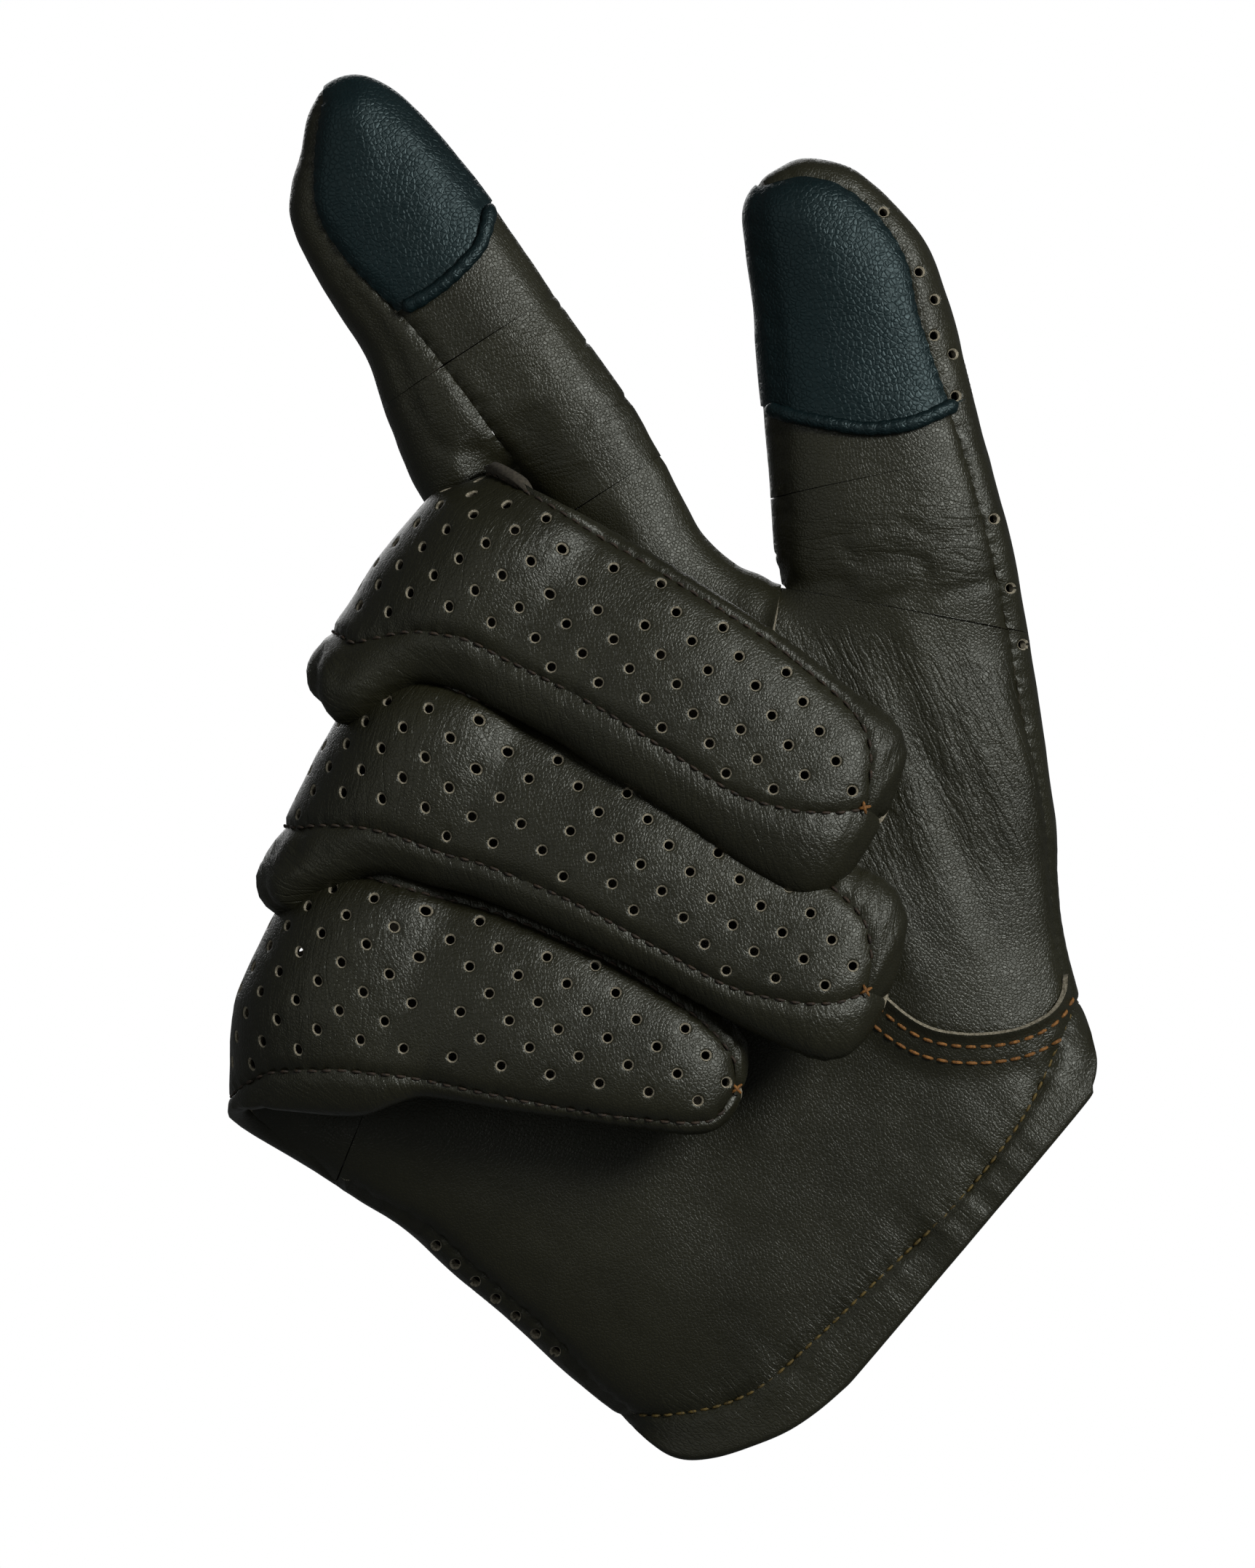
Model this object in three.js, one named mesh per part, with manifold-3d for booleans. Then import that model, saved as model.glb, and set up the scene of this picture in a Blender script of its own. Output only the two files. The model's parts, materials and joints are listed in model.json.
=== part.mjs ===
// A right-hand leather driving glove, posed with the index finger and thumb straight and the other
// three fingers folded over the palm. Millimetres. The origin is the middle of the palm-side rim of the
// wrist opening; +Z runs from the wrist to the fingertips, the palm faces -Y, and the thumb is on +X.
// Every leather panel is its own thin shell, split where a finger bends.
import * as THREE from 'three';
import { mergeVertices } from 'three/addons/utils/BufferGeometryUtils.js';
import Module from 'manifold-3d';

const wasm = await Module();
wasm.setup();

// ---------- driving dimensions ----------
const LEATHER = 1.2;            // thickness of the glove leather
const SEAM_GAP = 0.35;          // clear space left between two panels that are sewn together
const BEND_GAP = 0.5;           // clear space at a hinge line
const KNUCKLE_Z = 136;          // height of the knuckle row at the index finger
const PALM_HALF_DEPTH = 13;     // half the depth of the wrist opening
const KNUCKLE_HALF_DEPTH = 6.4; // half the depth of the glove at the knuckle row
const KNUCKLE_FORWARD = 5.6;    // how far the knuckle row sits towards the palm side
const HEM_DEPTH = 7;            // depth of the turned-in hem
const THREAD = 0.3;             // radius of the sewing thread
const THREAD_LIFT = 0.6;        // clear space under the sewing thread
const RIM_FORWARD = 12.57;      // from the middle of the wrist opening forward to the palm-side rim
const SQUARENESS = 2.6;         // exponent of the rounded cross-sections (2 is an ellipse)

// Colours of the finished glove.
const COLOURS = {
  leather: 0x2f2d26, perforated: 0x2e2c27, patch: 0x16262b, thread: 0x7a4a16, brass: 0x8f7a4c,
};

// One finger: where its knuckle hinge is, which way it points when straight (lean), how the hinge
// line is turned (tilt), how far it is folded at rest (fold, bend), and its own sizes.
const FINGERS = {
  index: { x: 66, z: 140, lean: 17, tilt: -17, fold: 0, bend: 0,
    width: 28, depth: 15, middle: 30, length: 66.5 },
  middle: { x: 39, z: 134.5, lean: 3, tilt: 3.5, fold: 172, bend: 6,
    width: 25, depth: 13, middle: 40, length: 80 },
  ring: { x: 5, z: 121, lean: -3, tilt: 11, fold: 172, bend: 6,
    width: 26, depth: 13, middle: 40, length: 88 },
  little: { x: -27, z: 108.5, lean: -11, tilt: 18, fold: 172, bend: 6,
    width: 26, depth: 12.5, middle: 34, length: 72 },
};
const FINGER_HINGE_Y = -12.6;   // the knuckle hinges lie on the palm face
const THUMB = { x: 85, z: 80, lean: 38, width: 34, depth: 18, middle: 29, length: 71, hingeY: -14 };
const TOUCH_FINGERS = ['index', 'thumb']; // their fingertips carry a touch patch on the palm side

// ---------- small helpers ----------
const radians = THREE.MathUtils.degToRad;
const lerp = THREE.MathUtils.lerp;
const smooth = THREE.MathUtils.smoothstep;

// A function that reads straight lines between [position, value] points.
const profile = (points) => (t) => {
  const next = points.findIndex(([at]) => at >= t);
  if (next === 0) return points[0][1];
  if (next < 0) return points.at(-1)[1];
  const [[t0, a], [t1, b]] = [points[next - 1], points[next]];
  return lerp(a, b, (t - t0) / (t1 - t0));
};

// How far a rounded cross-section of half size 1 stands out, at share across from -1 to 1.
const roundedHeight = (across) =>
  Math.pow(Math.max(0, 1 - Math.pow(Math.abs(across), SQUARENESS)), 1 / SQUARENESS);

// A closed shell between two surfaces that share one grid: skin(u, v, inset) gives a point.
function shell(skin, columns, rows, thickness) {
  const points = [];
  const put = (inset) => {
    for (let j = 0; j <= rows; j++)
      for (let i = 0; i <= columns; i++) points.push(...skin(i / columns, j / rows, inset));
  };
  put(0);
  put(thickness);
  const wide = columns + 1;
  const inner = wide * (rows + 1);
  const faces = [];
  const quad = (a, b, c, d) => faces.push(a, b, c, a, c, d);
  for (let j = 0; j < rows; j++)
    for (let i = 0; i < columns; i++) {
      const a = j * wide + i;
      quad(a, a + 1, a + wide + 1, a + wide);
      quad(inner + a, inner + a + wide, inner + a + wide + 1, inner + a + 1);
    }
  for (let i = 0; i < columns; i++) {
    const top = rows * wide + i;
    quad(i, inner + i, inner + i + 1, i + 1);
    quad(top, top + 1, inner + top + 1, inner + top);
  }
  for (let j = 0; j < rows; j++) {
    const left = j * wide;
    const right = left + columns;
    quad(left, left + wide, inner + left + wide, inner + left);
    quad(right, inner + right, inner + right + wide, right + wide);
  }
  const geometry = new THREE.BufferGeometry();
  geometry.setAttribute('position', new THREE.Float32BufferAttribute(points, 3));
  geometry.setIndex(faces);
  return facingOut(geometry);
}

// Turns every face round if the closed surface encloses a negative volume.
function facingOut(geometry) {
  const p = geometry.getAttribute('position');
  const index = geometry.getIndex();
  const [a, b, c] = [0, 1, 2].map(() => new THREE.Vector3());
  let volume = 0;
  for (let i = 0; i < index.count; i += 3) {
    a.fromBufferAttribute(p, index.getX(i));
    b.fromBufferAttribute(p, index.getX(i + 1));
    c.fromBufferAttribute(p, index.getX(i + 2));
    volume += a.dot(b.cross(c));
  }
  if (volume < 0)
    for (let i = 0; i < index.count; i += 3) {
      const first = index.getX(i);
      index.setX(i, index.getX(i + 1));
      index.setX(i + 1, first);
    }
  return geometry;
}

// three.js geometry to a manifold-3d solid and back, for cutting.
function solidOf(geometry) {
  const bare = geometry.clone();
  bare.deleteAttribute('normal');
  bare.deleteAttribute('uv');
  const merged = mergeVertices(bare, 1e-4);
  return new wasm.Manifold(new wasm.Mesh({
    numProp: 3,
    vertProperties: merged.attributes.position.array,
    triVerts: new Uint32Array(merged.index.array),
  }));
}

function geometryOf(solid) {
  const { vertProperties, triVerts } = solid.getMesh();
  const geometry = new THREE.BufferGeometry();
  geometry.setAttribute('position', new THREE.BufferAttribute(vertProperties, 3));
  geometry.setIndex(new THREE.BufferAttribute(triVerts, 1));
  return geometry;
}

const materials = Object.fromEntries(Object.entries(COLOURS).map(([name, color]) => [name,
  new THREE.MeshStandardMaterial({
    color,
    roughness: name === 'brass' ? 0.35 : 0.55,
    metalness: name === 'brass' ? 0.9 : 0,
  })]));

const glove = new THREE.Group();

function addMesh(group, name, geometry, material) {
  const mesh = new THREE.Mesh(geometry, materials[material]);
  mesh.name = name;
  group.add(mesh);
  return mesh;
}

// ---------- the hand: one flattened bag from the hem to the knuckles ----------
const handLeft = profile([[0, -50], [20, -51.5], [60, -50.5], [KNUCKLE_Z, -54]]);
const handRight = profile([[0, 49], [17, 56], [69, 98], [90, 71], [110, 70], [KNUCKLE_Z, 79]]);
// The knuckle row climbs from the little finger to the index finger. Each finger's hinge line is one
// straight stretch of it, with a step between neighbours.
const ROW_CORNERS = [[-54, 99.7], [-13, 113], [-8, 118.4], [18.3, 123.6], [25.7, 133.7], [52.1, 135.3],
  [52.4, 144], [79, 136]];
const knuckleRow = profile(ROW_CORNERS);
const hemRise = profile([
  [-51, 15], [-46, 10], [-40, 6], [-33, 2.5], [-22, 0], [40, 0], [45, 2.5], [49, 6],
]);
const SQUEEZE_Z = 80; // above this height the rows close up to meet the sloping knuckle row
const HEM_Z = 30;     // below this height the rows follow the curved hem
const HAND_ROWS = 14; // rows of the hand's grid from the hem to the knuckles

function placeRow(x, z) {
  if (z > SQUEEZE_Z) {
    const top = knuckleRow(x) - BEND_GAP;
    return SQUEEZE_Z + (z - SQUEEZE_Z) * (top - SQUEEZE_Z) / (KNUCKLE_Z - SQUEEZE_Z);
  }
  return z + hemRise(x) * Math.max(0, 1 - z / HEM_Z);
}

// The hand stays open where the thumb stall joins it: between these two heights, from this far across
// to its right side, by this share of its depth.
const THUMB_MOUTH = { low: 69, high: 90, across: 0.2, share: 0.8 };

function handPoint(across, z, side, inset) {
  const left = handLeft(z) + inset;
  const right = handRight(z) - inset;
  const x = lerp(left, right, (across + 1) / 2);
  const climb = smooth(z, 20, KNUCKLE_Z);
  const half = lerp(PALM_HALF_DEPTH, KNUCKLE_HALF_DEPTH, climb) - inset;
  const mouth = (2 * z - THUMB_MOUTH.low - THUMB_MOUTH.high) / (THUMB_MOUTH.high - THUMB_MOUTH.low);
  const open = THUMB_MOUTH.share * roundedHeight(Math.min(1, Math.abs(mouth)));
  const height = Math.max(roundedHeight(across), open * smooth(across, THUMB_MOUTH.across, 1));
  return [x, -KNUCKLE_FORWARD * climb + side * (SEAM_GAP / 2 + half * height), placeRow(x, z)];
}

// Columns of the hand's grid, from -1 to 1 across it: crowded towards the round edges, evenly spaced
// between them, and one at each corner of the knuckle row.
const rowWidth = handRight(KNUCKLE_Z) - handLeft(KNUCKLE_Z);
const cornerColumns = ROW_CORNERS.slice(1, -1)
  .map(([x]) => 2 * (x - handLeft(KNUCKLE_Z)) / rowWidth - 1);
const edgeColumns = [0, 1, 2, 3, 4].map((i) => Math.cos(Math.PI * i / 16));
const handColumns = [...edgeColumns.map((c) => -c), -0.55, -0.11, 0.4, ...cornerColumns, ...edgeColumns]
  .sort((a, b) => a - b);

const handSheet = (side, rows, low = 0, high = KNUCKLE_Z, lift = 0) => {
  const last = handColumns.length - 1;
  return shell(
    (u, v, inset) => handPoint(handColumns[Math.round(u * last)], lerp(low, high, v), side, inset + lift),
    last, rows, LEATHER);
};

// A solid over a shape in the XZ plane, from one level along Y to another.
function slab(shape, from, to, curveSegments = 6) {
  const options = { depth: to - from, bevelEnabled: false, curveSegments };
  return new THREE.ExtrudeGeometry(shape, options).rotateX(Math.PI / 2).translate(0, to, 0);
}

// A prism standing through the whole glove along Y, over an outline in the XZ plane.
const THROUGH = 45; // reaches past the glove on either side
const prism = (outline) =>
  solidOf(slab(new THREE.Shape(outline.map(([x, z]) => new THREE.Vector2(x, z))), -THROUGH, THROUGH));

// The thumb piece is let into the palm along this curved seam, from the hem side up to the web.
const keystoneSeam = new THREE.CatmullRomCurve3([
  [60, 12.5], [52, 12.6], [45, 13.5], [38, 18], [33, 25], [31, 36], [33, 50], [39, 63], [48, 75],
  [60, 86], [72, 94.5],
].map(([x, z]) => new THREE.Vector3(x, 0, z)));
const SEAM_STEPS = 22;  // straight stretches the seam is cut in
const CLEAR_RIGHT = 120; // further right than any part of the hand
const keystoneOutline = (offset) => {
  const side = keystoneSeam.getPoints(SEAM_STEPS).map((p, i) => {
    const t = keystoneSeam.getTangent(i / SEAM_STEPS);
    return [p.x + t.z * offset, p.z - t.x * offset];
  });
  return [...side, [CLEAR_RIGHT, 96], [CLEAR_RIGHT, 10]];
};

const frontSheet = solidOf(handSheet(-1, HAND_ROWS));
const keystone = frontSheet.intersect(prism(keystoneOutline(0)));
const palm = frontSheet.subtract(prism(keystoneOutline(-SEAM_GAP)));
const largest = (solid) => solid.decompose().sort((a, b) => b.volume() - a.volume())[0];
addMesh(glove, 'palm_panel', geometryOf(largest(palm)), 'leather');
addMesh(glove, 'thumb_keystone', geometryOf(largest(keystone)), 'leather');

// ---------- wrist vent, strap and snap on the back of the hand ----------
const VENT = { x: 6, half: 5, top: 34, below: -5 };
const STRAP = { z: 17, half: 8.5, anchorX: 24, tipX: -32, snapX: -22, thick: 1.6, lift: 0.6 };
const ANCHOR = { width: 11, thick: 1.1, height: 15, inset: 6 }; // the pad under the strap's sewn end

const ventShape = (grow) => {
  const shape = new THREE.Shape();
  const reach = VENT.half + grow;
  shape.moveTo(VENT.x - reach, VENT.below);
  shape.lineTo(VENT.x + reach, VENT.below);
  shape.lineTo(VENT.x + reach, VENT.top - VENT.half);
  shape.absarc(VENT.x, VENT.top - VENT.half, reach, 0, Math.PI);
  shape.lineTo(VENT.x - reach, VENT.below);
  return shape;
};
const ventCutter = (grow) => solidOf(slab(ventShape(grow), 0, THROUGH));

const backSheet = solidOf(handSheet(1, HAND_ROWS));
const SNAP_HOLE = 1.3;
const snapHole = solidOf(new THREE.CylinderGeometry(SNAP_HOLE, SNAP_HOLE, THROUGH, 14)
  .translate(STRAP.snapX, THROUGH / 2, STRAP.z));
addMesh(glove, 'back_panel',
  geometryOf(largest(backSheet.subtract(ventCutter(0)).subtract(snapHole))), 'perforated');

// The vent edge is bound with a narrow strip that lies on the back panel.
const BINDING = 2.4;
const BINDING_SHEET_TOP = 60; // well above the vent
const bindingSheet = solidOf(handSheet(1, 6, 0, BINDING_SHEET_TOP, -LEATHER - SEAM_GAP));
const bindingBand = bindingSheet.intersect(ventCutter(BINDING)).subtract(ventCutter(0));
addMesh(glove, 'vent_binding', geometryOf(largest(bindingBand)), 'leather');

// The hem is turned in and lies inside the panels.
const hemFold = (side) => handSheet(side, 1, 0, HEM_DEPTH, LEATHER + SEAM_GAP);
addMesh(glove, 'palm_hem_fold', hemFold(-1), 'leather');
const backHem = solidOf(hemFold(1)).subtract(ventCutter(SEAM_GAP));
const hemHalves = backHem.decompose()
  .sort((a, b) => a.boundingBox().min[0] - b.boundingBox().min[0]);
addMesh(glove, 'back_hem_fold_ulnar', geometryOf(hemHalves[0]), 'leather');
addMesh(glove, 'back_hem_fold_radial', geometryOf(hemHalves.at(-1)), 'leather');

// Outermost back surface under the strap, and the flat level at which the strap lies.
const backLevel = handPoint(0, STRAP.z, 1, 0)[1] + LEATHER + SEAM_GAP;
const strapLevel = backLevel + STRAP.lift;
const strapShape = new THREE.Shape();
strapShape.moveTo(STRAP.anchorX, STRAP.z - STRAP.half);
strapShape.lineTo(STRAP.anchorX, STRAP.z + STRAP.half);
strapShape.lineTo(STRAP.tipX + STRAP.half, STRAP.z + STRAP.half);
strapShape.absarc(STRAP.tipX + STRAP.half, STRAP.z, STRAP.half, Math.PI / 2, Math.PI * 1.5);
strapShape.lineTo(STRAP.anchorX, STRAP.z - STRAP.half);
const rivetHole = new THREE.Path();
rivetHole.absarc(STRAP.snapX, STRAP.z, SNAP_HOLE, 0, Math.PI * 2, true);
strapShape.holes.push(rivetHole);
const strapTop = strapLevel + STRAP.thick;
addMesh(glove, 'wrist_strap', slab(strapShape, strapLevel, strapTop, 8), 'leather');

// The strap's sewn end: a pad under it that is stitched to the back panel.
const pad = new THREE.BoxGeometry(ANCHOR.width, ANCHOR.thick, ANCHOR.height);
pad.translate(STRAP.anchorX + ANCHOR.inset, backLevel + ANCHOR.thick / 2, STRAP.z);
addMesh(glove, 'strap_anchor', pad, 'leather');

// Snap: cap and socket ride on the strap, stud and back post on the glove. Lathe profiles are
// [radius, height], the heights along +Y from the level each piece sits at.
const SNAP = {
  capRadius: 6.2, capEdge: 1.1, capTop: 1.9, socketRadius: 5, socketDepth: 1.7, boreRadius: 3.1,
  neckRadius: 1.0, studDrop: 2.3, studRadius: 2.7, studFlange: 0.3, studWaist: 2.1, studTop: 1.1,
  postRadius: 4, postThick: 0.5, clear: 0.3,
};
const lathe = (profilePoints, x, y, z) => {
  const points = profilePoints.map(([r, h]) => new THREE.Vector2(r, h));
  return new THREE.LatheGeometry(points, 16).translate(x, y, z);
};
const studLevel = strapLevel - SNAP.studDrop;
addMesh(glove, 'snap_cap', lathe([
  [0, 0.2 - STRAP.thick], [SNAP.neckRadius, 0.2 - STRAP.thick], [SNAP.neckRadius, SNAP.clear],
  [SNAP.capRadius, SNAP.clear], [SNAP.capRadius - 0.5, SNAP.capEdge], [0, SNAP.capTop],
], STRAP.snapX, strapTop, STRAP.z), 'brass');
addMesh(glove, 'snap_stud', lathe([
  [0, 0], [SNAP.socketRadius, 0], [SNAP.socketRadius, SNAP.studFlange],
  [SNAP.studWaist, SNAP.studFlange], [SNAP.studRadius, 0.8], [1.7, SNAP.studTop], [0, SNAP.studTop],
], STRAP.snapX, studLevel, STRAP.z), 'brass');
const postFoot = -LEATHER - 1.1 - SNAP.postThick;
addMesh(glove, 'snap_post', lathe([
  [0, postFoot], [SNAP.postRadius, postFoot], [SNAP.postRadius, postFoot + SNAP.postThick],
  [SNAP.neckRadius, postFoot + SNAP.postThick], [SNAP.neckRadius, -SNAP.clear], [0, -SNAP.clear],
], STRAP.snapX, studLevel, STRAP.z), 'brass');
addMesh(glove, 'snap_socket', lathe([
  [SNAP.boreRadius, -SNAP.socketDepth], [SNAP.socketRadius, -SNAP.socketDepth],
  [SNAP.socketRadius, -SNAP.clear], [SNAP.boreRadius, -SNAP.clear],
  [SNAP.boreRadius, -SNAP.socketDepth],
], STRAP.snapX, strapLevel, STRAP.z), 'brass');

// ---------- sewing thread on the palm side ----------
function thread(curve, segments) {
  const ring = new THREE.Shape().absarc(0, 0, THREAD, 0, Math.PI * 2);
  return new THREE.ExtrudeGeometry(ring,
    { steps: segments, extrudePath: curve, curveSegments: 2, bevelEnabled: false });
}
// Lays a line of [x, z] points on the palm face.
function onPalm(points) {
  return new THREE.CatmullRomCurve3(points.map(([x, z]) => {
    const left = handLeft(z);
    const right = handRight(z);
    const across = (2 * x - left - right) / (right - left);
    return new THREE.Vector3(x, handPoint(across, z, -1, -THREAD - THREAD_LIFT)[1], z);
  }));
}
addMesh(glove, 'hem_thread', thread(onPalm([
  [-46, 19], [-38, 13], [-28, 9.3], [-12, 7], [4, 5.4], [20, 4.4], [34, 5], [44, 8],
]), 18), 'thread');
// The keystone's two rows run over this share of its seam's length, beside the seam.
const SEWN = { from: 0.12, to: 0.8, step: 0.08 };
const beside = (offset) => {
  const points = [];
  for (let t = SEWN.from; t < SEWN.to; t += SEWN.step) {
    const p = keystoneSeam.getPointAt(t);
    const d = keystoneSeam.getTangentAt(t);
    points.push([p.x + d.z * offset, p.z - d.x * offset]);
  }
  return points;
};
addMesh(glove, 'keystone_thread_inner', thread(onPalm(beside(-1.8)), 20), 'thread');
addMesh(glove, 'keystone_thread_outer', thread(onPalm(beside(-4)), 20), 'thread');

// ---------- finger stalls ----------
// A stall is a tube with a rounded, flattened section that closes to a dome at its tip. In its own
// frame the hinge line is y = 0, the stall runs along +Z and its palm face is y = FACE_RISE.
const FACE_RISE = 0.6;
const TIP_OPEN = 0.14;   // share of the full width left where the panels gather at the tip
const LEAST_HALF = 0.3;  // half size left of the inner surface there
const COLUMN_ANGLE = 22; // angle covered by one column of a panel's grid
const DOME = 0.55;       // length of the rounded end as a share of the width
const TAPER = 0.1;       // how much a stall narrows from its knuckle to its tip

function stallSize(stall, z) {
  const dome = stall.width * DOME;
  const past = Math.max(0, z - (stall.length - dome)) / dome;
  const close = Math.max(TIP_OPEN, roundedHeight(past));
  const taper = 1 - TAPER * z / stall.length;
  return { half: stall.width / 2 * taper * close, deep: stall.depth / 2 * close };
}

// A point at an angle round the stall: 0 is the thumb side, 90 the back, 270 the palm face.
function stallPoint(stall, angle, z, inset) {
  const { half, deep } = stallSize(stall, z);
  const [a, b] = [Math.max(LEAST_HALF, half - inset), Math.max(LEAST_HALF, deep - inset)];
  const [c, s] = [Math.cos(radians(angle)), Math.sin(radians(angle))];
  const reach = Math.pow(
    Math.pow(Math.abs(c) / a, SQUARENESS) + Math.pow(Math.abs(s) / b, SQUARENESS), -1 / SQUARENESS);
  return [reach * c, FACE_RISE + stall.depth / 2 + reach * s, z];
}

// A leather panel over part of a stall, between two angles and two distances along it. The lower
// edge can be slanted to follow the hinge line, and rows crowd towards the upper end.
function stallPanel(stall, [from, to], [low, high], slant, rows) {
  const columns = Math.max(3, Math.round((to - from) / COLUMN_ANGLE));
  return shell((u, v, inset) => {
    const angle = lerp(from, to, u);
    const start = low + stallPoint(stall, angle, low, inset)[0] * slant;
    return stallPoint(stall, angle, lerp(start, high, Math.sin(v * Math.PI / 2)), inset);
  }, columns, rows, LEATHER);
}

// Angles of the panels round each stall, with the seam gaps between them. The outer sides of the
// index and little fingers and both sides of the thumb have no side wall: front and back meet there.
const PANELS = {
  index: { back: [1.5, 149], wall_ulnar: [152, 208], front: [211, 358.5] },
  middle: { back: [31, 149], wall_ulnar: [152, 208], front: [211, 329], wall_radial: [332, 388] },
  ring: { back: [31, 149], wall_ulnar: [152, 208], front: [211, 329], wall_radial: [332, 388] },
  little: { back: [31, 178.5], front: [181.5, 329], wall_radial: [332, 388] },
  thumb: { back: [1.5, 178.5], front: [181.5, 358.5] },
};

// Nested groups carry the bends: the finger group is turned at the knuckle, and the tip group,
// inside it, at the middle joint. Both hinges lie on the palm face.
function addStall(name, stall, hingeY, parts) {
  const finger = new THREE.Group();
  finger.position.set(stall.x, hingeY, stall.z);
  const axis = new THREE.Vector3(Math.cos(radians(stall.tilt)), 0, Math.sin(radians(stall.tilt)));
  finger.quaternion
    .setFromAxisAngle(axis, radians(stall.fold))
    .multiply(new THREE.Quaternion().setFromAxisAngle(new THREE.Vector3(0, 1, 0), radians(stall.lean)));
  const tip = new THREE.Group();
  tip.position.set(0, 0, stall.middle);
  tip.rotation.x = radians(stall.bend);
  finger.add(tip);
  glove.add(finger);

  const slant = Math.tan(radians(stall.lean + stall.tilt));
  const halfGap = BEND_GAP / 2;
  for (const [part, angles] of Object.entries(parts)) {
    const leather = part === 'back' ? 'perforated' : 'leather';
    const baseSpan = [BEND_GAP, stall.middle - halfGap];
    addMesh(finger, `${name}_${part}_base`, stallPanel(stall, angles, baseSpan, slant, 3), leather);
    const tipSpan = [stall.middle + halfGap, stall.length - halfGap];
    const tipPanel = stallPanel(stall, angles, tipSpan, 0, 6).translate(0, 0, -stall.middle);
    if (part === 'front' && TOUCH_FINGERS.includes(name))
      addMesh(tip, `${name}_touch_patch`, tipPanel, 'patch');
    else
      addMesh(tip, `${name}_${part}_tip`, tipPanel, leather);
  }
}

for (const name of Object.keys(FINGERS)) addStall(name, FINGERS[name], FINGER_HINGE_Y, PANELS[name]);
addStall('thumb', { ...THUMB, tilt: -THUMB.lean, fold: 0, bend: 0 }, THUMB.hingeY, PANELS.thumb);

// The frame's origin is the middle of the palm-side rim, on the rim's own face.
glove.position.y = RIM_FORWARD;

export default glove;
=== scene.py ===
# The looks of the driving glove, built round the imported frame. The leather skins are modelled open and
# flat in millimetres, then the three folded fingers are folded about the frame's own hinges.
import json
import math

import bpy
import numpy as np
from mathutils import Matrix, Vector
from mathutils.geometry import delaunay_2d_cdt
from mathutils.kdtree import KDTree

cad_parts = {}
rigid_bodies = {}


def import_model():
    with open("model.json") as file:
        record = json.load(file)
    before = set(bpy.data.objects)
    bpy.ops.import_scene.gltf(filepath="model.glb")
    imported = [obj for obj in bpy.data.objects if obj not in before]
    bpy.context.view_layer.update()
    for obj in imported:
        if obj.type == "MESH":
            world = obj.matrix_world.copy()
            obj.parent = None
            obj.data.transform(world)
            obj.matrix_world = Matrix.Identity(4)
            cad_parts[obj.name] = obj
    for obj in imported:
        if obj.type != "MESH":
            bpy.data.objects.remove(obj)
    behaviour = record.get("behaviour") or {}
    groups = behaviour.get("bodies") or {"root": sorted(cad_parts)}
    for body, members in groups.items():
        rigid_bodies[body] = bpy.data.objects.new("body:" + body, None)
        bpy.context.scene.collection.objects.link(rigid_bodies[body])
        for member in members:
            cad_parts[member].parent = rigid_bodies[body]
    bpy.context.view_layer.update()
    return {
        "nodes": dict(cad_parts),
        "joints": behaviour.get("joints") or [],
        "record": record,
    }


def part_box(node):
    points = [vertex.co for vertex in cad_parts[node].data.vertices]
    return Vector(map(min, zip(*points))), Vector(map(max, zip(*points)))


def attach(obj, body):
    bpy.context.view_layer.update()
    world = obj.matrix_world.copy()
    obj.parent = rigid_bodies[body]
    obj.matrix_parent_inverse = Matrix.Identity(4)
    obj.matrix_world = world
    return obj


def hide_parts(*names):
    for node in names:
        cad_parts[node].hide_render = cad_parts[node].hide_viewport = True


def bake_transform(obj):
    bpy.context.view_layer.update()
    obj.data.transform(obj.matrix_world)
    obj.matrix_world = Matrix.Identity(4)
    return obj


for thing in list(bpy.data.objects):
    bpy.data.objects.remove(thing)
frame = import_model()
MM = 0.001
RIM_FORWARD = 12.57   # the sheets are drawn round the middle of the wrist; the frame's origin is the rim
ORIGIN = np.array([0, -RIM_FORWARD - frame["record"]["mounts"][0]["pos_m"][1] / MM, 0])
scene = bpy.context.scene


def new_object(name, data):
    obj = bpy.data.objects.new(name, data)
    scene.collection.objects.link(obj)
    return obj


# ---------------------------------------------------------------- small maths


def smooth(x, low, high):
    t = np.clip((np.asarray(x, float) - low) / (high - low), 0, 1)
    return t * t * (3 - 2 * t)


def lerp(a, b, t):
    return a + (b - a) * t


def curve_through(points):
    """A smooth function through [position, value] points (monotone cubic), flat beyond both ends."""
    at = np.array([p[0] for p in points], float)
    to = np.array([p[1] for p in points], float)
    step = np.diff(at)
    slope = np.diff(to) / step
    tangent = np.zeros(len(at))
    same = slope[1:] * slope[:-1] > 0
    mean = 2 * slope[1:] * slope[:-1] / np.where(same, slope[1:] + slope[:-1], 1)
    tangent[1:-1] = np.where(same, mean, 0)
    tangent[0], tangent[-1] = slope[0], slope[-1]

    def read(x):
        x = np.clip(np.asarray(x, float), at[0], at[-1])
        i = np.clip(np.searchsorted(at, x) - 1, 0, len(step) - 1)
        t = (x - at[i]) / step[i]
        return ((1 + 2 * t) * (1 - t) ** 2 * to[i] + t * (1 - t) ** 2 * step[i] * tangent[i]
                + t * t * (3 - 2 * t) * to[i + 1] + t * t * (t - 1) * step[i] * tangent[i + 1])

    return read


def turn(points, centre, axis, angle):
    """Points turned about a line by one angle each (radians)."""
    p = points - centre
    c, s = np.cos(angle)[:, None], np.sin(angle)[:, None]
    return centre + p * c + np.cross(axis, p) * s + axis * (p @ axis)[:, None] * (1 - c)


def unit(v):
    return np.asarray(v, float) / np.linalg.norm(v)


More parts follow.
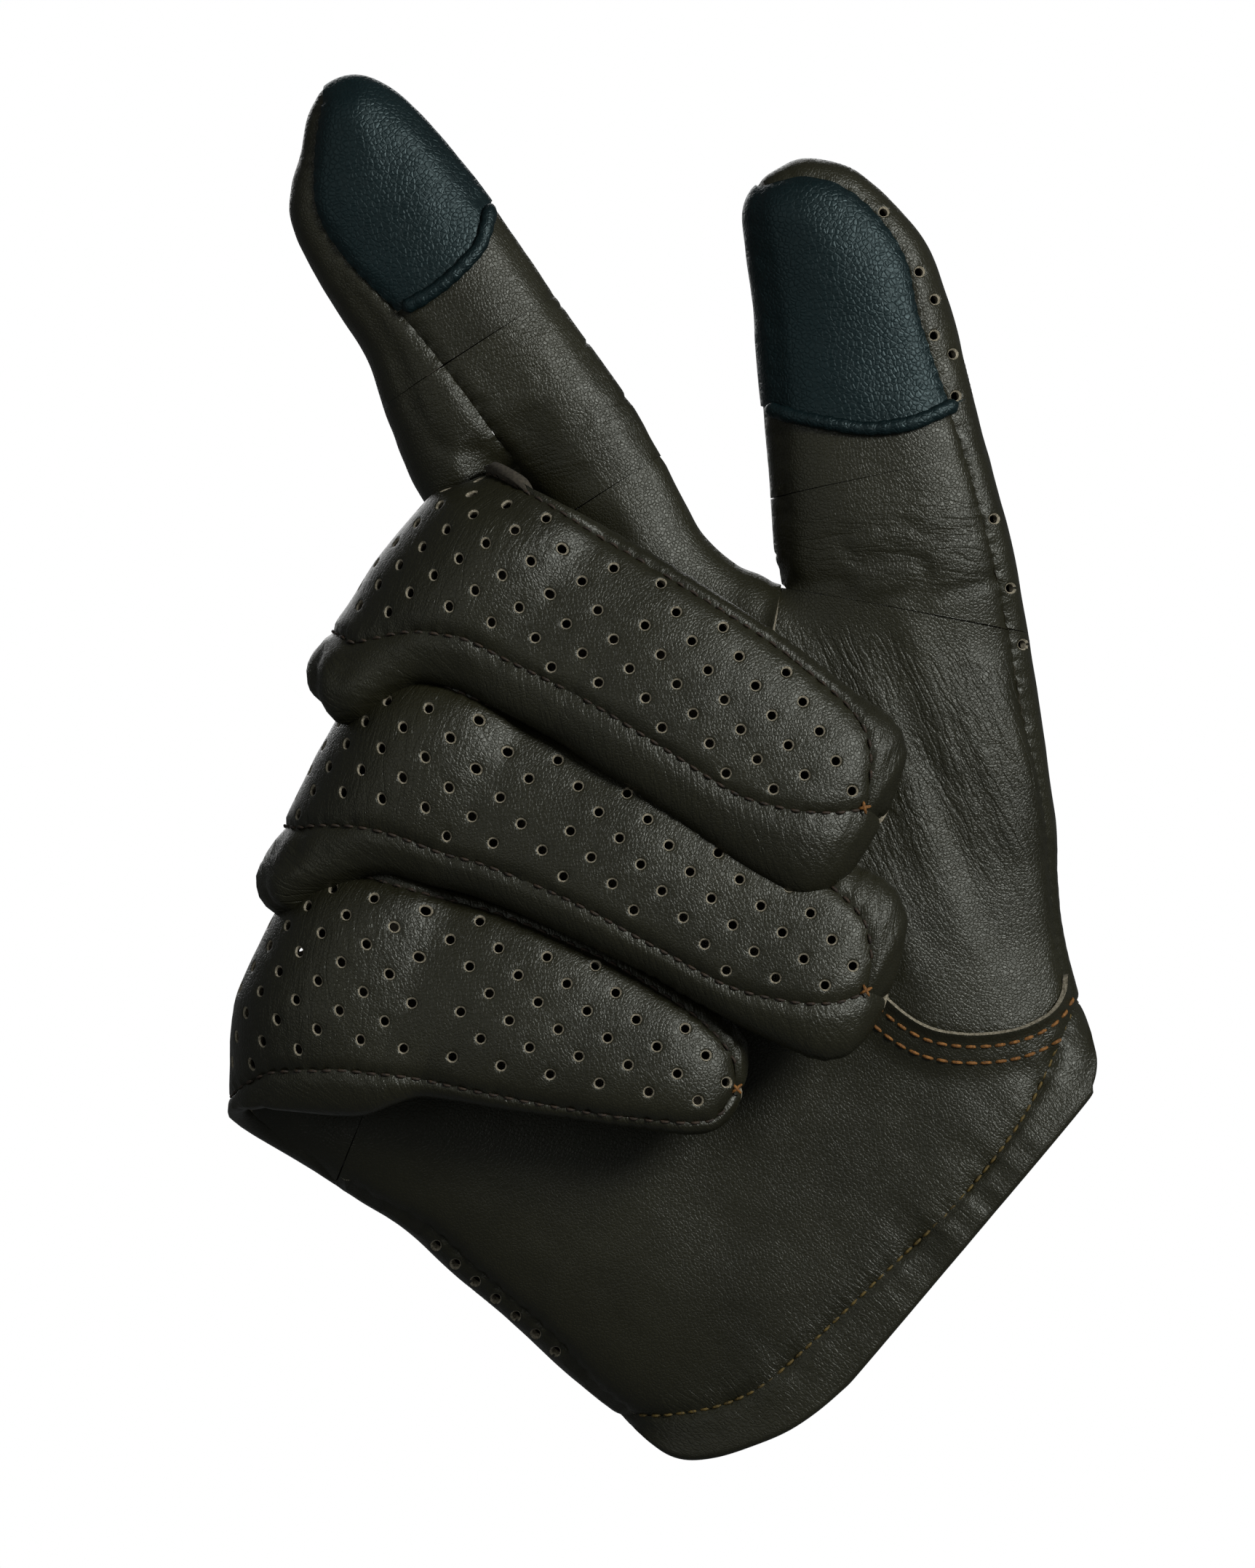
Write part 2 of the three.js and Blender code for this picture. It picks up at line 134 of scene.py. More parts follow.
def resample(points, spacing, closed=False):
    """Evenly spaced points along a polyline, keeping both ends."""
    p = np.asarray(points, float)
    if closed:
        p = np.vstack([p, p[:1]])
    length = np.r_[0, np.cumsum(np.linalg.norm(np.diff(p, axis=0), axis=1))]
    count = max(2, int(round(length[-1] / spacing)) + 1)
    at = np.linspace(0, length[-1], count)
    out = np.stack([np.interp(at, length, p[:, k]) for k in range(p.shape[1])], 1)
    return out[:-1] if closed else out


def spline(points, spacing=0.5):
    """A Catmull-Rom curve through points, evenly sampled."""
    p = np.asarray(points, float)
    q = np.vstack([2 * p[0] - p[1], p, 2 * p[-1] - p[-2]])
    t = np.linspace(0, 1, 12, endpoint=False)[:, None]
    parts = []
    for a, b, c, d in zip(q, q[1:], q[2:], q[3:]):
        parts.append(0.5 * (2 * b + (c - a) * t + (2 * a - 5 * b + 4 * c - d) * t ** 2
                            + (3 * b - a - 3 * c + d) * t ** 3))
    parts.append(p[-1:])
    return resample(np.vstack(parts), spacing)


def distance_to_lines(points, lines):
    """Shortest distance from each 2-D point to any of the polylines."""
    best = np.full(len(points), 1e9)
    for line in lines:
        a, b = line[:-1], line[1:]
        for start in range(0, len(points), 4000):
            p = points[start:start + 4000, None, :]
            ab = (b - a)[None]
            t = np.clip(((p - a[None]) * ab).sum(2) / np.maximum((ab ** 2).sum(2), 1e-12), 0, 1)
            gap = np.sqrt((((a[None] + t[..., None] * ab) - p) ** 2).sum(2)).min(1)
            best[start:start + 4000] = np.minimum(best[start:start + 4000], gap)
    return best


def inside(points, polygon):
    """Which 2-D points lie inside a closed polygon."""
    x, y = points[:, 0], points[:, 1]
    result = np.zeros(len(points), bool)
    for (x0, y0), (x1, y1) in zip(polygon, np.roll(polygon, -1, axis=0)):
        crosses = (y0 > y) != (y1 > y)
        result ^= crosses & (x < (x1 - x0) * (y - y0) / (y1 - y0 + 1e-15) + x0)
    return result


def noise(p, seed=0):
    """Smooth value noise in -1 to 1 at 3-D points, the same in every run."""
    base = np.floor(p).astype(np.int64)
    f = p - base
    f = f * f * (3 - 2 * f)
    total = np.zeros(len(p))
    for corner in range(8):
        o = np.array([corner & 1, corner >> 1 & 1, corner >> 2 & 1])
        n = base + o
        h = n[:, 0] * 374761393 + n[:, 1] * 668265263 + n[:, 2] * 2147483647 + seed * 974634777
        h = (h ^ (h >> 13)) * 1274126177 & 0xFFFFFFFF
        h = (h ^ (h >> 16)) & 0xFFFF
        w = np.prod(np.where(o, f, 1 - f), axis=1)
        total += w * (h / 32767.5 - 1)
    return total


def noise_at(seed, a, b=0.0, c=0.0):
    """The same noise over separate coordinates, in their own shape."""
    a, b, c = np.broadcast_arrays(a, b, c)
    return noise(np.stack([a.ravel(), b.ravel(), c.ravel()], 1), seed).reshape(a.shape)


def closed_line(outline):
    """A closed polygon as a polyline that ends where it starts."""
    return np.vstack([outline, outline[:1]])


def quads(rows, columns):
    """Faces of a grid of points that are numbered row by row."""
    index = np.arange(rows * columns).reshape(rows, columns)
    return np.stack([index[:-1, :-1], index[:-1, 1:], index[1:, 1:], index[1:, :-1]], 2).reshape(-1, 4)


# ---------------------------------------------------------------- materials
def connect(tree, node, inputs):
    """Gives a shader node's inputs their values, or the sockets they read."""
    for key, value in inputs.items():
        if isinstance(value, bpy.types.NodeSocket):
            tree.links.new(value, node.inputs[key])
        else:
            node.inputs[key].default_value = value


def add(tree, kind, inputs, **settings):
    node = tree.nodes.new("ShaderNode" + kind)
    for key, value in settings.items():
        setattr(node, key, value)
    connect(tree, node, inputs)
    return node


def new_material(name):
    made = bpy.data.materials.new(name)
    made.use_nodes = True
    return made, made.node_tree, made.node_tree.nodes["Principled BSDF"]


def two_tones(tree, fac, dark, light, spread):
    """Two colours that change over within a spread either side of the middle of a texture."""
    ramp = add(tree, "ValToRGB", {"Fac": fac})
    for stop, at, colour in zip(ramp.color_ramp.elements, (0.5 - spread, 0.5 + spread), (dark, light)):
        stop.position = at
        stop.color = (*colour, 1)
    return ramp.outputs["Color"]


CREASE_STRETCH = (0.5, 0.11, 0.0)   # creases are drawn out along their second direction
CREASE_WIDTH = 0.09
CREASE_DEPTH, GRAIN_DEPTH, THREAD_DEPTH = 0.22 * MM, 0.09 * MM, 0.1 * MM


def grain_relief(tree, place, grain, fine):
    """The height of fine pebbled leather, and the distance to the valleys between its pebbles."""
    pebble = add(tree, "TexVoronoi", {"Vector": place, "Scale": 1.7 * grain, "Randomness": 0.95},
                 feature="DISTANCE_TO_EDGE").outputs["Distance"]
    pores = add(tree, "TexVoronoi", {"Vector": place, "Scale": 3.4 * grain, "Randomness": 1.0})
    height = add(tree, "MapRange", {"From Max": 0.22, "Value": pebble}).outputs["Result"]
    rough = add(tree, "Math", {0: fine, 1: 0.55, 2: height}, operation="MULTIPLY_ADD").outputs["Value"]
    whole = add(tree, "Math", {0: pores.outputs["Distance"], 1: 0.35, 2: rough}, operation="MULTIPLY_ADD")
    return whole.outputs["Value"], pebble


def crease_relief(tree):
    """Drawn-out creases: the attribute "fold" holds a place across and along them, and their strength."""
    fold = add(tree, "Attribute", {}, attribute_name="fold").outputs["Vector"]
    apart = add(tree, "SeparateXYZ", {"Vector": fold})
    stretch = add(tree, "VectorMath", {0: fold, 1: CREASE_STRETCH}, operation="MULTIPLY").outputs["Vector"]
    waves = add(tree, "TexNoise", {"Vector": stretch, "Scale": 1.0, "Detail": 3.0, "Distortion": 0.35})
    centred = add(tree, "Math", {0: waves.outputs["Fac"], 1: 0.5}, operation="SUBTRACT").outputs["Value"]
    ridge = add(tree, "Math", {0: centred}, operation="ABSOLUTE").outputs["Value"]
    valley = add(tree, "MapRange", {"Value": ridge, "From Max": CREASE_WIDTH},
                 interpolation_type="SMOOTHSTEP").outputs["Result"]
    return add(tree, "Math", {0: valley, 1: apart.outputs["Z"]}, operation="MULTIPLY").outputs["Value"]


def leather(name, dark, light, gleam, grain=1.0, bump=0.5, rough=0.5):
    """Fine-grained leather: mottled colour, painted shade in the valleys between the pebbles, pebbled bump,
    soft uneven shine and creases.
    """
    made, tree, shader = new_material(name)
    place = add(tree, "Attribute", {}, attribute_name="pelt").outputs["Vector"]
    mottle = add(tree, "TexNoise", {"Vector": place, "Scale": 0.05, "Detail": 5.0, "Roughness": 0.5})
    fine = add(tree, "TexNoise", {"Vector": place, "Scale": 1.6 * grain, "Detail": 4.0,
                                  "Roughness": 0.6}).outputs["Fac"]
    height, pebble = grain_relief(tree, place, grain, fine)
    # painted shade: the colour is darkened in the valleys between the pebbles
    painted_valley_shade = add(tree, "MapRange", {"Value": pebble, "From Max": 0.16, "To Min": 0.84, "To Max": 1.04})
    colour = add(tree, "Mix", {"Factor": 1.0, "A": two_tones(tree, mottle.outputs["Fac"], dark, light, 0.2),
                               "B": painted_valley_shade.outputs["Result"]}, data_type="RGBA", blend_type="MULTIPLY")
    gloss = add(tree, "MapRange", {"Value": fine, "To Min": rough - 0.1, "To Max": rough + 0.14})
    relief = add(tree, "Bump", {"Strength": bump, "Distance": GRAIN_DEPTH, "Height": height})
    creased = add(tree, "Bump", {"Strength": 0.6, "Distance": CREASE_DEPTH, "Height": crease_relief(tree),
                                 "Normal": relief.outputs["Normal"]})
    connect(tree, shader, {"Base Color": colour.outputs["Result"], "Roughness": gloss.outputs["Result"],
                           "Normal": creased.outputs["Normal"], "Specular IOR Level": 0.42,
                           "Specular Tint": (*gleam, 1)})
    return made


def plain(name, dark, light, rough, scale, metal=0.0, bump=0.3):
    """A noisy two-tone material for suede edges, thread and metal."""
    made, tree, shader = new_material(name)
    place = add(tree, "TexCoord", {}).outputs["Object"]
    mottle = add(tree, "TexNoise", {"Vector": place, "Scale": scale, "Detail": 4.0}).outputs["Fac"]
    relief = add(tree, "Bump", {"Strength": bump, "Distance": THREAD_DEPTH, "Height": mottle})
    connect(tree, shader, {"Base Color": two_tones(tree, mottle, dark, light, 0.15), "Roughness": rough,
                           "Normal": relief.outputs["Normal"], "Metallic": metal})
    return made


def rgb(r, g, b):
    """sRGB 0 to 255 as Blender's linear colour."""
    return tuple((c / 255 / 12.92 if c / 255 <= 0.04045 else ((c / 255 + 0.055) / 1.055) ** 2.4)
                 for c in (r, g, b))


LEATHER = leather("glove_leather", rgb(25, 24, 12), rgb(34, 33, 20), (0.97, 1.0, 0.92), bump=0.42, rough=0.4)
TOUCH = leather("touch_leather", rgb(4, 16, 18), rgb(8, 23, 25), (0.58, 0.76, 0.77), grain=0.72, bump=0.55,
                rough=0.42)
# pale raw cut edges of the leather; round the punched holes the paleness is partly the raw edge's own colour
# and partly a painted highlight where the edges catch light
EDGE = plain("cut_edge", rgb(92, 86, 70), rgb(150, 143, 124), 0.95, 2500)
LINING = plain("flesh_side", rgb(44, 40, 32), rgb(66, 61, 50), 0.95, 1800)
THREAD = plain("tan_thread", rgb(88, 54, 15), rgb(142, 95, 38), 0.75, 2600)
HEM_THREAD = plain("olive_thread", rgb(56, 45, 12), rgb(100, 82, 30), 0.75, 2600)
DARK_THREAD = plain("dark_thread", rgb(22, 18, 12), rgb(52, 38, 22), 0.75, 2200)
BRASS = plain("aged_brass", rgb(104, 92, 66), rgb(150, 134, 98), 0.36, 600, metal=0.9, bump=0.12)

# ---------------------------------------------------------------- the frame's joints
HINGE = {j["name"]: j for j in frame["joints"]}
ZONE = (-14.0, 17.0)   # how far before and after a knuckle hinge the leather takes up the bend
MID_ZONE = 12.0        # the same, either side of a middle joint


class Stall:
    """One finger of the glove in its straight state, with the hinges that fold it."""

    def __init__(self, name, root, mid, length):
        self.name, self.length = name, length
        k, m = HINGE[root], HINGE[mid]
        folded = k["range_deg"][0] < -90
        self.fold = math.radians(-k["range_deg"][0]) if folded else 0.0
        self.bend = math.radians(-m["range_deg"][0]) if folded else 0.0
        self.k, self.axis = np.array(k["pos_m"]) / MM + ORIGIN, unit(k["axis"])
        back = np.array([-self.fold])
        self.mid = turn(np.array([m["pos_m"]]) / MM + ORIGIN, self.k, self.axis, back)[0]
        self.mid_axis = turn(np.array([m["axis"]]), np.zeros(3), self.axis, back)[0]
        self.z = unit(self.mid - self.k)
        self.x = unit(self.mid_axis)
        self.normal = np.array([-self.axis[2], 0, self.axis[0]])
        self.mid_s = float(np.linalg.norm(self.mid - self.k))
        self.cut = self.mid_s - MID_ZONE

    def local(self, x, z):
        dx, dz = np.asarray(x) - self.k[0], np.asarray(z) - self.k[2]
        return dx * self.x[0] + dz * self.x[2], dx * self.z[0] + dz * self.z[2]

    def place(self, u, s):
        return (self.k[0] + u * self.x[0] + s * self.z[0], self.k[2] + u * self.x[2] + s * self.z[2])

    def reach(self, x, z):
        """Distance past the hinge line, square to it."""
        return (x - self.k[0]) * self.normal[0] + (z - self.k[2]) * self.normal[2]

    def start(self, u):
        """Distance along the finger of the line where the bend begins."""
        return (ZONE[0] - u * (self.x @ self.normal)) / (self.z @ self.normal)

    def weights(self, p):
        """Shares of the knuckle's and the middle joint's turn, at straight-state points."""
        u, s = self.local(p[:, 0], p[:, 2])
        return smooth(self.reach(p[:, 0], p[:, 2]), *ZONE), smooth(s, self.cut, self.mid_s + MID_ZONE)

    def posed(self, p):
        if not self.fold:
            return p
        root, mid = self.weights(p)
        p = turn(p, self.mid, self.mid_axis, mid * self.bend)
        return turn(p, self.k, self.axis, root * self.fold)


LITTLE = Stall("little", "little_knuckle", "little_middle_joint", 72.0)
RING = Stall("ring", "ring_knuckle", "ring_middle_joint", 89.5)
MIDDLE = Stall("middle", "middle_knuckle", "middle_middle_joint", 81.0)
INDEX = Stall("index", "index_knuckle", "index_middle_joint", 67.5)
THUMB = Stall("thumb", "thumb_root", "thumb_tip_joint", 71.0)
FOLDED = (LITTLE, RING, MIDDLE)

# The notches between the fingers, in the glove's XZ plane.
NOTCH = {"little_ring": (-10.5, 99.0), "ring_middle": (21.5, 109.5), "middle_index": (54.0, 121.0)}
WEB = (72.0, 93.0)


def side_of(stall, notch, points):
    """Half width against distance along the stall, from a notch of the hand outwards."""
    if notch is not None:
        u, s = stall.local(*notch)
        points = [(float(s), abs(float(u)))] + points
    return curve_through(points)


# Outlines of the folded fingers in their straight state: half widths on the little-finger side (left) and
# the thumb side (right) against distance past the hinge, then how far out the seams of the back panel run.
# The left sides stand out near the hinge, where the loose side wall bulges into a lobe once folded.
LITTLE.left = side_of(LITTLE, None, [(-19.3, 29.2), (-9, 27.9), (-4, 26.8), (0, 25.2), (3, 23.8), (5.6, 22.6),
                                     (10.4, 20.6), (14, 19), (18.4, 16), (23, 13.6), (37, 12), (57, 9.6),
                                     (72, 8)])
LITTLE.right = side_of(LITTLE, NOTCH["little_ring"], [(0, 19), (8, 20), (22, 21), (34, 20.4), (58, 15),
                                                      (72, 11)])
RING.left = side_of(RING, NOTCH["little_ring"], [(-14, 14), (-8, 17), (-4, 23.5), (-0.8, 28.2), (1.6, 26.6),
                                                 (4.4, 21), (7.5, 15.8), (10, 13.8), (14, 13), (22, 12),
                                                 (44, 13.2), (60, 15.2), (76, 17), (90, 17)])
RING.right = side_of(RING, NOTCH["ring_middle"], [(-8, 15.6), (4, 19), (14, 20.4), (30, 19.4), (60, 17),
                                                  (76, 15.4), (90, 14)])
MIDDLE.left = side_of(MIDDLE, NOTCH["ring_middle"], [(-14, 17.8), (-6, 20), (-2, 25.6), (1, 31), (2.6, 32),
                                                     (4.6, 29), (6.4, 23), (8.8, 18.6), (13, 16.6), (27, 16),
                                                     (42, 16.6), (52, 17.3), (64, 18.4), (81, 18.6)])
MIDDLE.right = side_of(MIDDLE, NOTCH["middle_index"], [(-10, 16.8), (2, 17.4), (9, 17.8), (18, 19), (28, 19),
                                                       (48, 18), (58, 17), (66, 15.8), (81, 15)])

LITTLE.seams = (curve_through([(-19, 28), (-8, 26.6), (0, 22.8), (2.5, 20.4), (4.8, 17.8), (8, 15.4),
                               (12, 12.9), (18, 11.6), (31, 10.8), (44, 9.9), (62, 7.4), (69, 5),
                               (71.4, -1)]),
                curve_through([(-12, 17), (0, 17.4), (10, 18.4), (22, 19), (40, 17), (60, 11.6), (69, 6),
                               (71.4, 1)]))
RING.seams = (curve_through([(-20, 15), (-12, 13), (-2, 14.4), (1.6, 14.2), (4.4, 12), (7.2, 9.6), (10, 8.2),
                             (14, 7.6), (22, 6.8), (33, 7), (53, 9.6), (65, 11), (75, 9.6), (82, 7),
                             (86.5, 3.4)]),
              curve_through([(-20, 16), (-8, 14), (4, 16.6), (14, 18), (40, 16.4), (62, 13.8), (77, 9.8),
                             (82, 6.8), (85, 1.8), (86.5, -3.4)]))
MIDDLE.seams = (curve_through([(-26, 18.4), (-14, 17), (-4, 18.6), (0, 20), (2.8, 20), (4.6, 17.4),
                               (6.4, 14.2), (9.2, 10.9), (12, 8.9), (18, 8.3), (32, 7.7), (44, 8.1),
                               (57, 8.7), (66, 6.8), (73, 3.6), (78, 0)]),
                curve_through([(-16, 16), (-4, 16), (2, 16.2), (8, 16.8), (13, 17.4), (28, 17.2), (48, 16.4),
                               (58, 15.2), (66, 13.6), (72, 10.6), (76.4, 4), (78, 0)]))

# How far the top of the fold stands off the hinge line, across each finger.
LITTLE.crown = curve_through([(-28, 6.8), (-24.6, 7.6), (-20.2, 8.9), (-13.8, 11.3), (-5.7, 13), (2.4, 12.6),
                              (8.4, 12), (14, 10.5), (19, 7.2)])
RING.crown = curve_through([(-29, 8), (-26.4, 12.4), (-23, 13.4), (-16.3, 12.8), (-10.4, 13.1), (0, 13.6),
                            (7.4, 13.3), (14, 11.5), (20, 7.4)])
MIDDLE.crown = curve_through([(-32.4, 8), (-30, 12), (-26.5, 12.8), (-21, 12), (-15, 12.2), (-6.3, 13),
                              (7, 12.3), (14.7, 8), (17.5, 6.8)])

# Where the back seams of each folded finger meet: across it and along it.
LITTLE.meet, RING.meet, MIDDLE.meet = (1.0, 71.2), (-3.4, 86.3), (0.0, 77.8)

SLANT = 0.13   # the folded fingers lie tipped, each tucked under its neighbour's outer side
HALF_DEPTH = {"little": 6.1, "ring": 6.5, "middle": 6.6}

# ---------------------------------------------------------------- the flat glove: one height field
HAND_LEFT = spline([(-51.5, 22), (-51.5, 35), (-51, 60), (-50.6, 72), (-52, 84)])
HAND_RIGHT = spline([(49, 6), (51, 9.5), (57, 18), (65, 26.5), (72, 33), (80, 42), (90, 53), (100, 64.5),
                     (110, 78.6), (120, 92.6), (127.2, 103), (131.6, 110.8), (133.4, 118), (133.8, 124.5),
                     (133, 130), (129.3, 136), (125, 138.4), (121, 139.2), (116.6, 138.2), (112, 134),
                     (105, 126.5), (98, 119.5), (88, 109.6), (80, 101.8), (75, 96.4), WEB])
WEB_SIDE = spline([WEB, (70.2, 100), (70.4, 108), (72.6, 114), (75.6, 121)])
INDEX_OUTLINE = spline([(75.6, 121), (79, 130), (81.2, 138), (84, 149), (87.2, 160), (90, 171), (92, 180),
                        (93.6, 190), (93.6, 197), (91.4, 202), (87, 204.4), (82, 203.6), (76.5, 201),
                        (71, 198.6), (66.6, 195.4), (63.6, 190), (60.4, 181), (56.6, 169.8), (51, 160.6),
                        (47.2, 154.4), (44.8, 149), (44.4, 145.4), (46.6, 141), (51, 136.6), (54.4, 130),
                        NOTCH["middle_index"]])


def stall_edge(stall, side, low, high):
    """Outline points of a folded finger in the XZ plane of the flat glove."""
    s = np.arange(low, high, 0.5)
    u = -stall.left(s) if side < 0 else stall.right(s)
    return np.stack(stall.place(u, s), 1)


STUB = 8.0            # how far up the folded fingers' outlines matter to the hand
LITTLE_START = -17.5  # where the little finger's outer side leaves the hand's, before its hinge
BESIDE = {"little": (None, "little_ring"), "ring": ("little_ring", "ring_middle"),
          "middle": ("ring_middle", "middle_index")}
EDGES = [HAND_LEFT, HAND_RIGHT, WEB_SIDE, INDEX_OUTLINE]
for stall in FOLDED:
    for side, notch in zip((-1, 1), BESIDE[stall.name]):
        low = stall.local(*NOTCH[notch])[1] if notch else LITTLE_START
        EDGES.append(stall_edge(stall, side, float(low), STUB))

WRIST_HALF, ROW_HALF, ROW_FORWARD = 12.6, 6.4, 5.6
ROW_Z = 136.0
ROUNDNESS = 2.3


def hand_field(x, z):
    """Middle level, half depth and edge radius of the flat glove at points of its plane."""
    climb = smooth(z, 20, ROW_Z)
    middle = -ROW_FORWARD * climb
    half = lerp(WRIST_HALF, ROW_HALF, climb)
    edge = lerp(34.0, 16.0, smooth(z, 20, 120))
    for stall, depth, level, radius in ((THUMB, 9.2, -4.2, 18.0), (INDEX, 7.8, -4.8, 15.0)):
        u, s = stall.local(x, z)
        here = smooth(s, -18, 8) * smooth(-abs(u), -34, -24)
        taper = 1 - 0.12 * smooth(s, 10, stall.length)
        middle = lerp(middle, level, here)
        half = lerp(half, depth * taper, here)
        edge = lerp(edge, radius, here)
    return middle, half, edge


def rounded(t):
    return (1 - (1 - np.clip(t, 0, 1)) ** ROUNDNESS) ** (1 / ROUNDNESS)


def hand_height(x, z, side):
    """Level of the flat glove's palm (-1) or back (1) surface."""
    shape = np.shape(x)
    flat = np.stack([np.ravel(x), np.ravel(z)], 1)
    d = distance_to_lines(flat, EDGES).reshape(shape)
    middle, half, edge = hand_field(x, z)
    return middle + side * half * rounded(d / edge)


def closing(s, length, dome, power):
    """1 along a finger, falling to 0 over the dome at its tip."""
    q = np.clip((s - (length - dome)) / dome, 0, 1)
    return (1 - q ** power) ** (1 / power)


def stall_section(stall, s):
    """Left edge, right edge, half depth and middle level of a folded finger along its length."""
    close = closing(s, stall.length, 11.0, 2.9)
    left, right = stall.left(s), stall.right(s)
    centre = (right - left) / 2
    half = (right + left) / 2 * np.maximum(close, 0.02)
    depth = HALF_DEPTH[stall.name] * np.maximum(closing(s, stall.length, 15.0, 2.2), 0.05)
    level = stall.k[1] + 0.5 + HALF_DEPTH[stall.name]
    return centre - half, centre + half, depth, level


def stall_height(stall, u, s, side):
    """Level of a folded finger's front (-1) or back (1) in its straight state, blended into the hand."""
    left, right, depth, level = stall_section(stall, s)
    across = np.clip(np.abs(2 * (u - left) / (right - left) - 1), 0, 1)
    own = level + side * depth * (1 - across ** ROUNDNESS) ** (1 / ROUNDNESS)
    x, z = stall.place(u, s)
    if side > 0:
        reach = stall.reach(x, z)
        bell = smooth(reach, -13, -1) * (1 - smooth(reach, 5, 14))
        crown = stall.k[1] + stall.crown(u)
        own = lerp(own, level + (crown - level) * (1 - across ** 6) ** (1 / 6), bell)
    own = own + SLANT * (right - u) * smooth(s, 4, 18)
    share = smooth(stall.reach(x, z), ZONE[0], -2)
    hand = hand_height(x, z, side) if np.any(share < 1) else own
    return lerp(hand, own, share)


def fold_zone(stall, u, s):
    """1 on the outermost part of the fold, fading to 0 beyond it."""
    reach = stall.reach(*stall.place(u, s))
    return smooth(reach, -3, 1) * (1 - smooth(reach, 4, 9))


# ---------------------------------------------------------------- meshes
def clip(polygon, value):
    """The part of a closed polygon where a linear function of its points is above 0."""
    out = []
    v = value(polygon)
    for i in range(len(polygon)):
        j = (i + 1) % len(polygon)
        if v[i] >= 0:
            out.append(polygon[i])
        if (v[i] >= 0) != (v[j] >= 0):
            out.append(polygon[i] + (polygon[j] - polygon[i]) * v[i] / (v[i] - v[j]))
    return np.array(out)


def inset_points(lines, outline, amounts=(0.1, 0.4, 0.9)):
    """Extra points just inside the silhouette, where the sheet turns fastest."""
    found = []
    for line in lines:
        middle = (line[1:] + line[:-1]) / 2
        along = line[1:] - line[:-1]
        across = np.stack([-along[:, 1], along[:, 0]], 1)
        across /= np.linalg.norm(across, axis=1)[:, None]
        for amount in amounts:
            for sign in (-1, 1):
                p = resample(middle + sign * amount * across, 0.8 + 0.4 * amount)
                p = p[inside(p, outline)]
                if len(p):
                    p = p[distance_to_lines(p, [closed_line(outline)]) > amount * 0.8]
                if len(p):
                    p = p[np.abs(distance_to_lines(p, lines) - amount) < amount * 0.3]
                if len(p):
                    found.append(p)
    return np.vstack(found) if found else np.zeros((0, 2))


def triangulate(outline, holes, spacing, silhouette=()):
    """Triangles over a 2-D outline with round holes left open. Returns points and faces.

    silhouette: lines the sheet turns over at, which get extra points beside them."""
    outline = np.asarray(outline)
    low, high = outline.min(0), outline.max(0)
    rows = np.arange(low[1] + spacing / 2, high[1], spacing * 0.87)
    columns = np.arange(low[0], high[0], spacing)
    grid = np.vstack([np.stack([columns + (spacing / 2 if i % 2 else 0), np.full(len(columns), z)], 1)
                      for i, z in enumerate(rows)])
    grid = grid[inside(grid, outline)]
    grid = grid[distance_to_lines(grid, [closed_line(outline)]) > spacing * 0.55]
    points, edges = [outline], []
    n = len(outline)
    edges += [(i, (i + 1) % n) for i in range(n)]
    rings = inset_points(silhouette, outline) if len(silhouette) else np.zeros((0, 2))
    if len(rings):
        grid = grid[distance_to_lines(grid, silhouette) > 1.4]
        points.append(rings)
        n += len(rings)
    turns = np.linspace(0, 2 * math.pi, HOLE_SIDES, endpoint=False)
    for centre in holes:
        gap = np.hypot(*(grid - centre).T)
        grid = grid[gap > HOLE_LIP + 0.45 * spacing + 0.3]
        for radius, drift in ((HOLE_RADIUS, 0.0), (HOLE_LIP, 0.0), (HOLE_LIP + 0.35, math.pi / HOLE_SIDES)):
            ring = centre + radius * np.stack([np.cos(turns + drift), np.sin(turns + drift)], 1)
            if radius == HOLE_RADIUS:
                edges += [(n + i, n + (i + 1) % HOLE_SIDES) for i in range(HOLE_SIDES)]
            points.append(ring)
            n += HOLE_SIDES
    points.append(grid)
    points = np.vstack(points)
    verts, _, faces, _, _, _ = delaunay_2d_cdt([Vector(p) for p in points], edges, [], 0, 1e-4)
    verts = np.array([tuple(v) for v in verts])
    faces = np.array([f for f in faces if len(f) == 3])
    centres = verts[faces].mean(1)
    keep = inside(centres, outline)
    if len(holes):
        gap = np.full(len(centres), 1e9)
        for centre in holes:
            gap = np.minimum(gap, np.hypot(*(centres - centre).T))
        keep &= gap > HOLE_RADIUS * 0.96
    faces = faces[keep]
    a, b, c = verts[faces[:, 0]], verts[faces[:, 1]], verts[faces[:, 2]]
    area = (b[:, 0] - a[:, 0]) * (c[:, 1] - a[:, 1]) - (b[:, 1] - a[:, 1]) * (c[:, 0] - a[:, 0])
    faces = faces[np.abs(area) > 1e-4]
    used = np.unique(faces)
    again = np.full(len(verts), -1)
    again[used] = np.arange(len(used))
    return verts[used], again[faces]


HOLE_RADIUS = 0.72
HOLE_LIP = 0.96    # the punched edge shows as a pale ring this wide, partly the raw leather's own colour and partly a painted highlight
HOLE_SIDES = 12
SKIN = 0.95        # thickness of the leather
MESH = 1.35        # edge length of the skins


def vertex_normals(points, faces):
    normals = np.zeros_like(points)
    quads = faces.shape[1] == 4
    a, b, c = points[faces[:, 0]], points[faces[:, 1]], points[faces[:, 2]]
    face = np.cross(c - a, points[faces[:, 3]] - b) if quads else np.cross(b - a, c - a)
    for k in range(faces.shape[1]):
        np.add.at(normals, faces[:, k], face)
    return normals / np.maximum(np.linalg.norm(normals, axis=1), 1e-12)[:, None]


def relax(vectors, faces, rounds=2):
    """Directions averaged with their neighbours', so that corners and thin slivers don't throw them off."""
    for _ in range(rounds):
        total = vectors.copy()
        for k in range(faces.shape[1]):
            j = (k + 1) % faces.shape[1]
            np.add.at(total, faces[:, k], vectors[faces[:, j]] * 0.5)
            np.add.at(total, faces[:, j], vectors[faces[:, k]] * 0.5)
        vectors = total / np.maximum(np.linalg.norm(total, axis=1), 1e-12)[:, None]
    return vectors


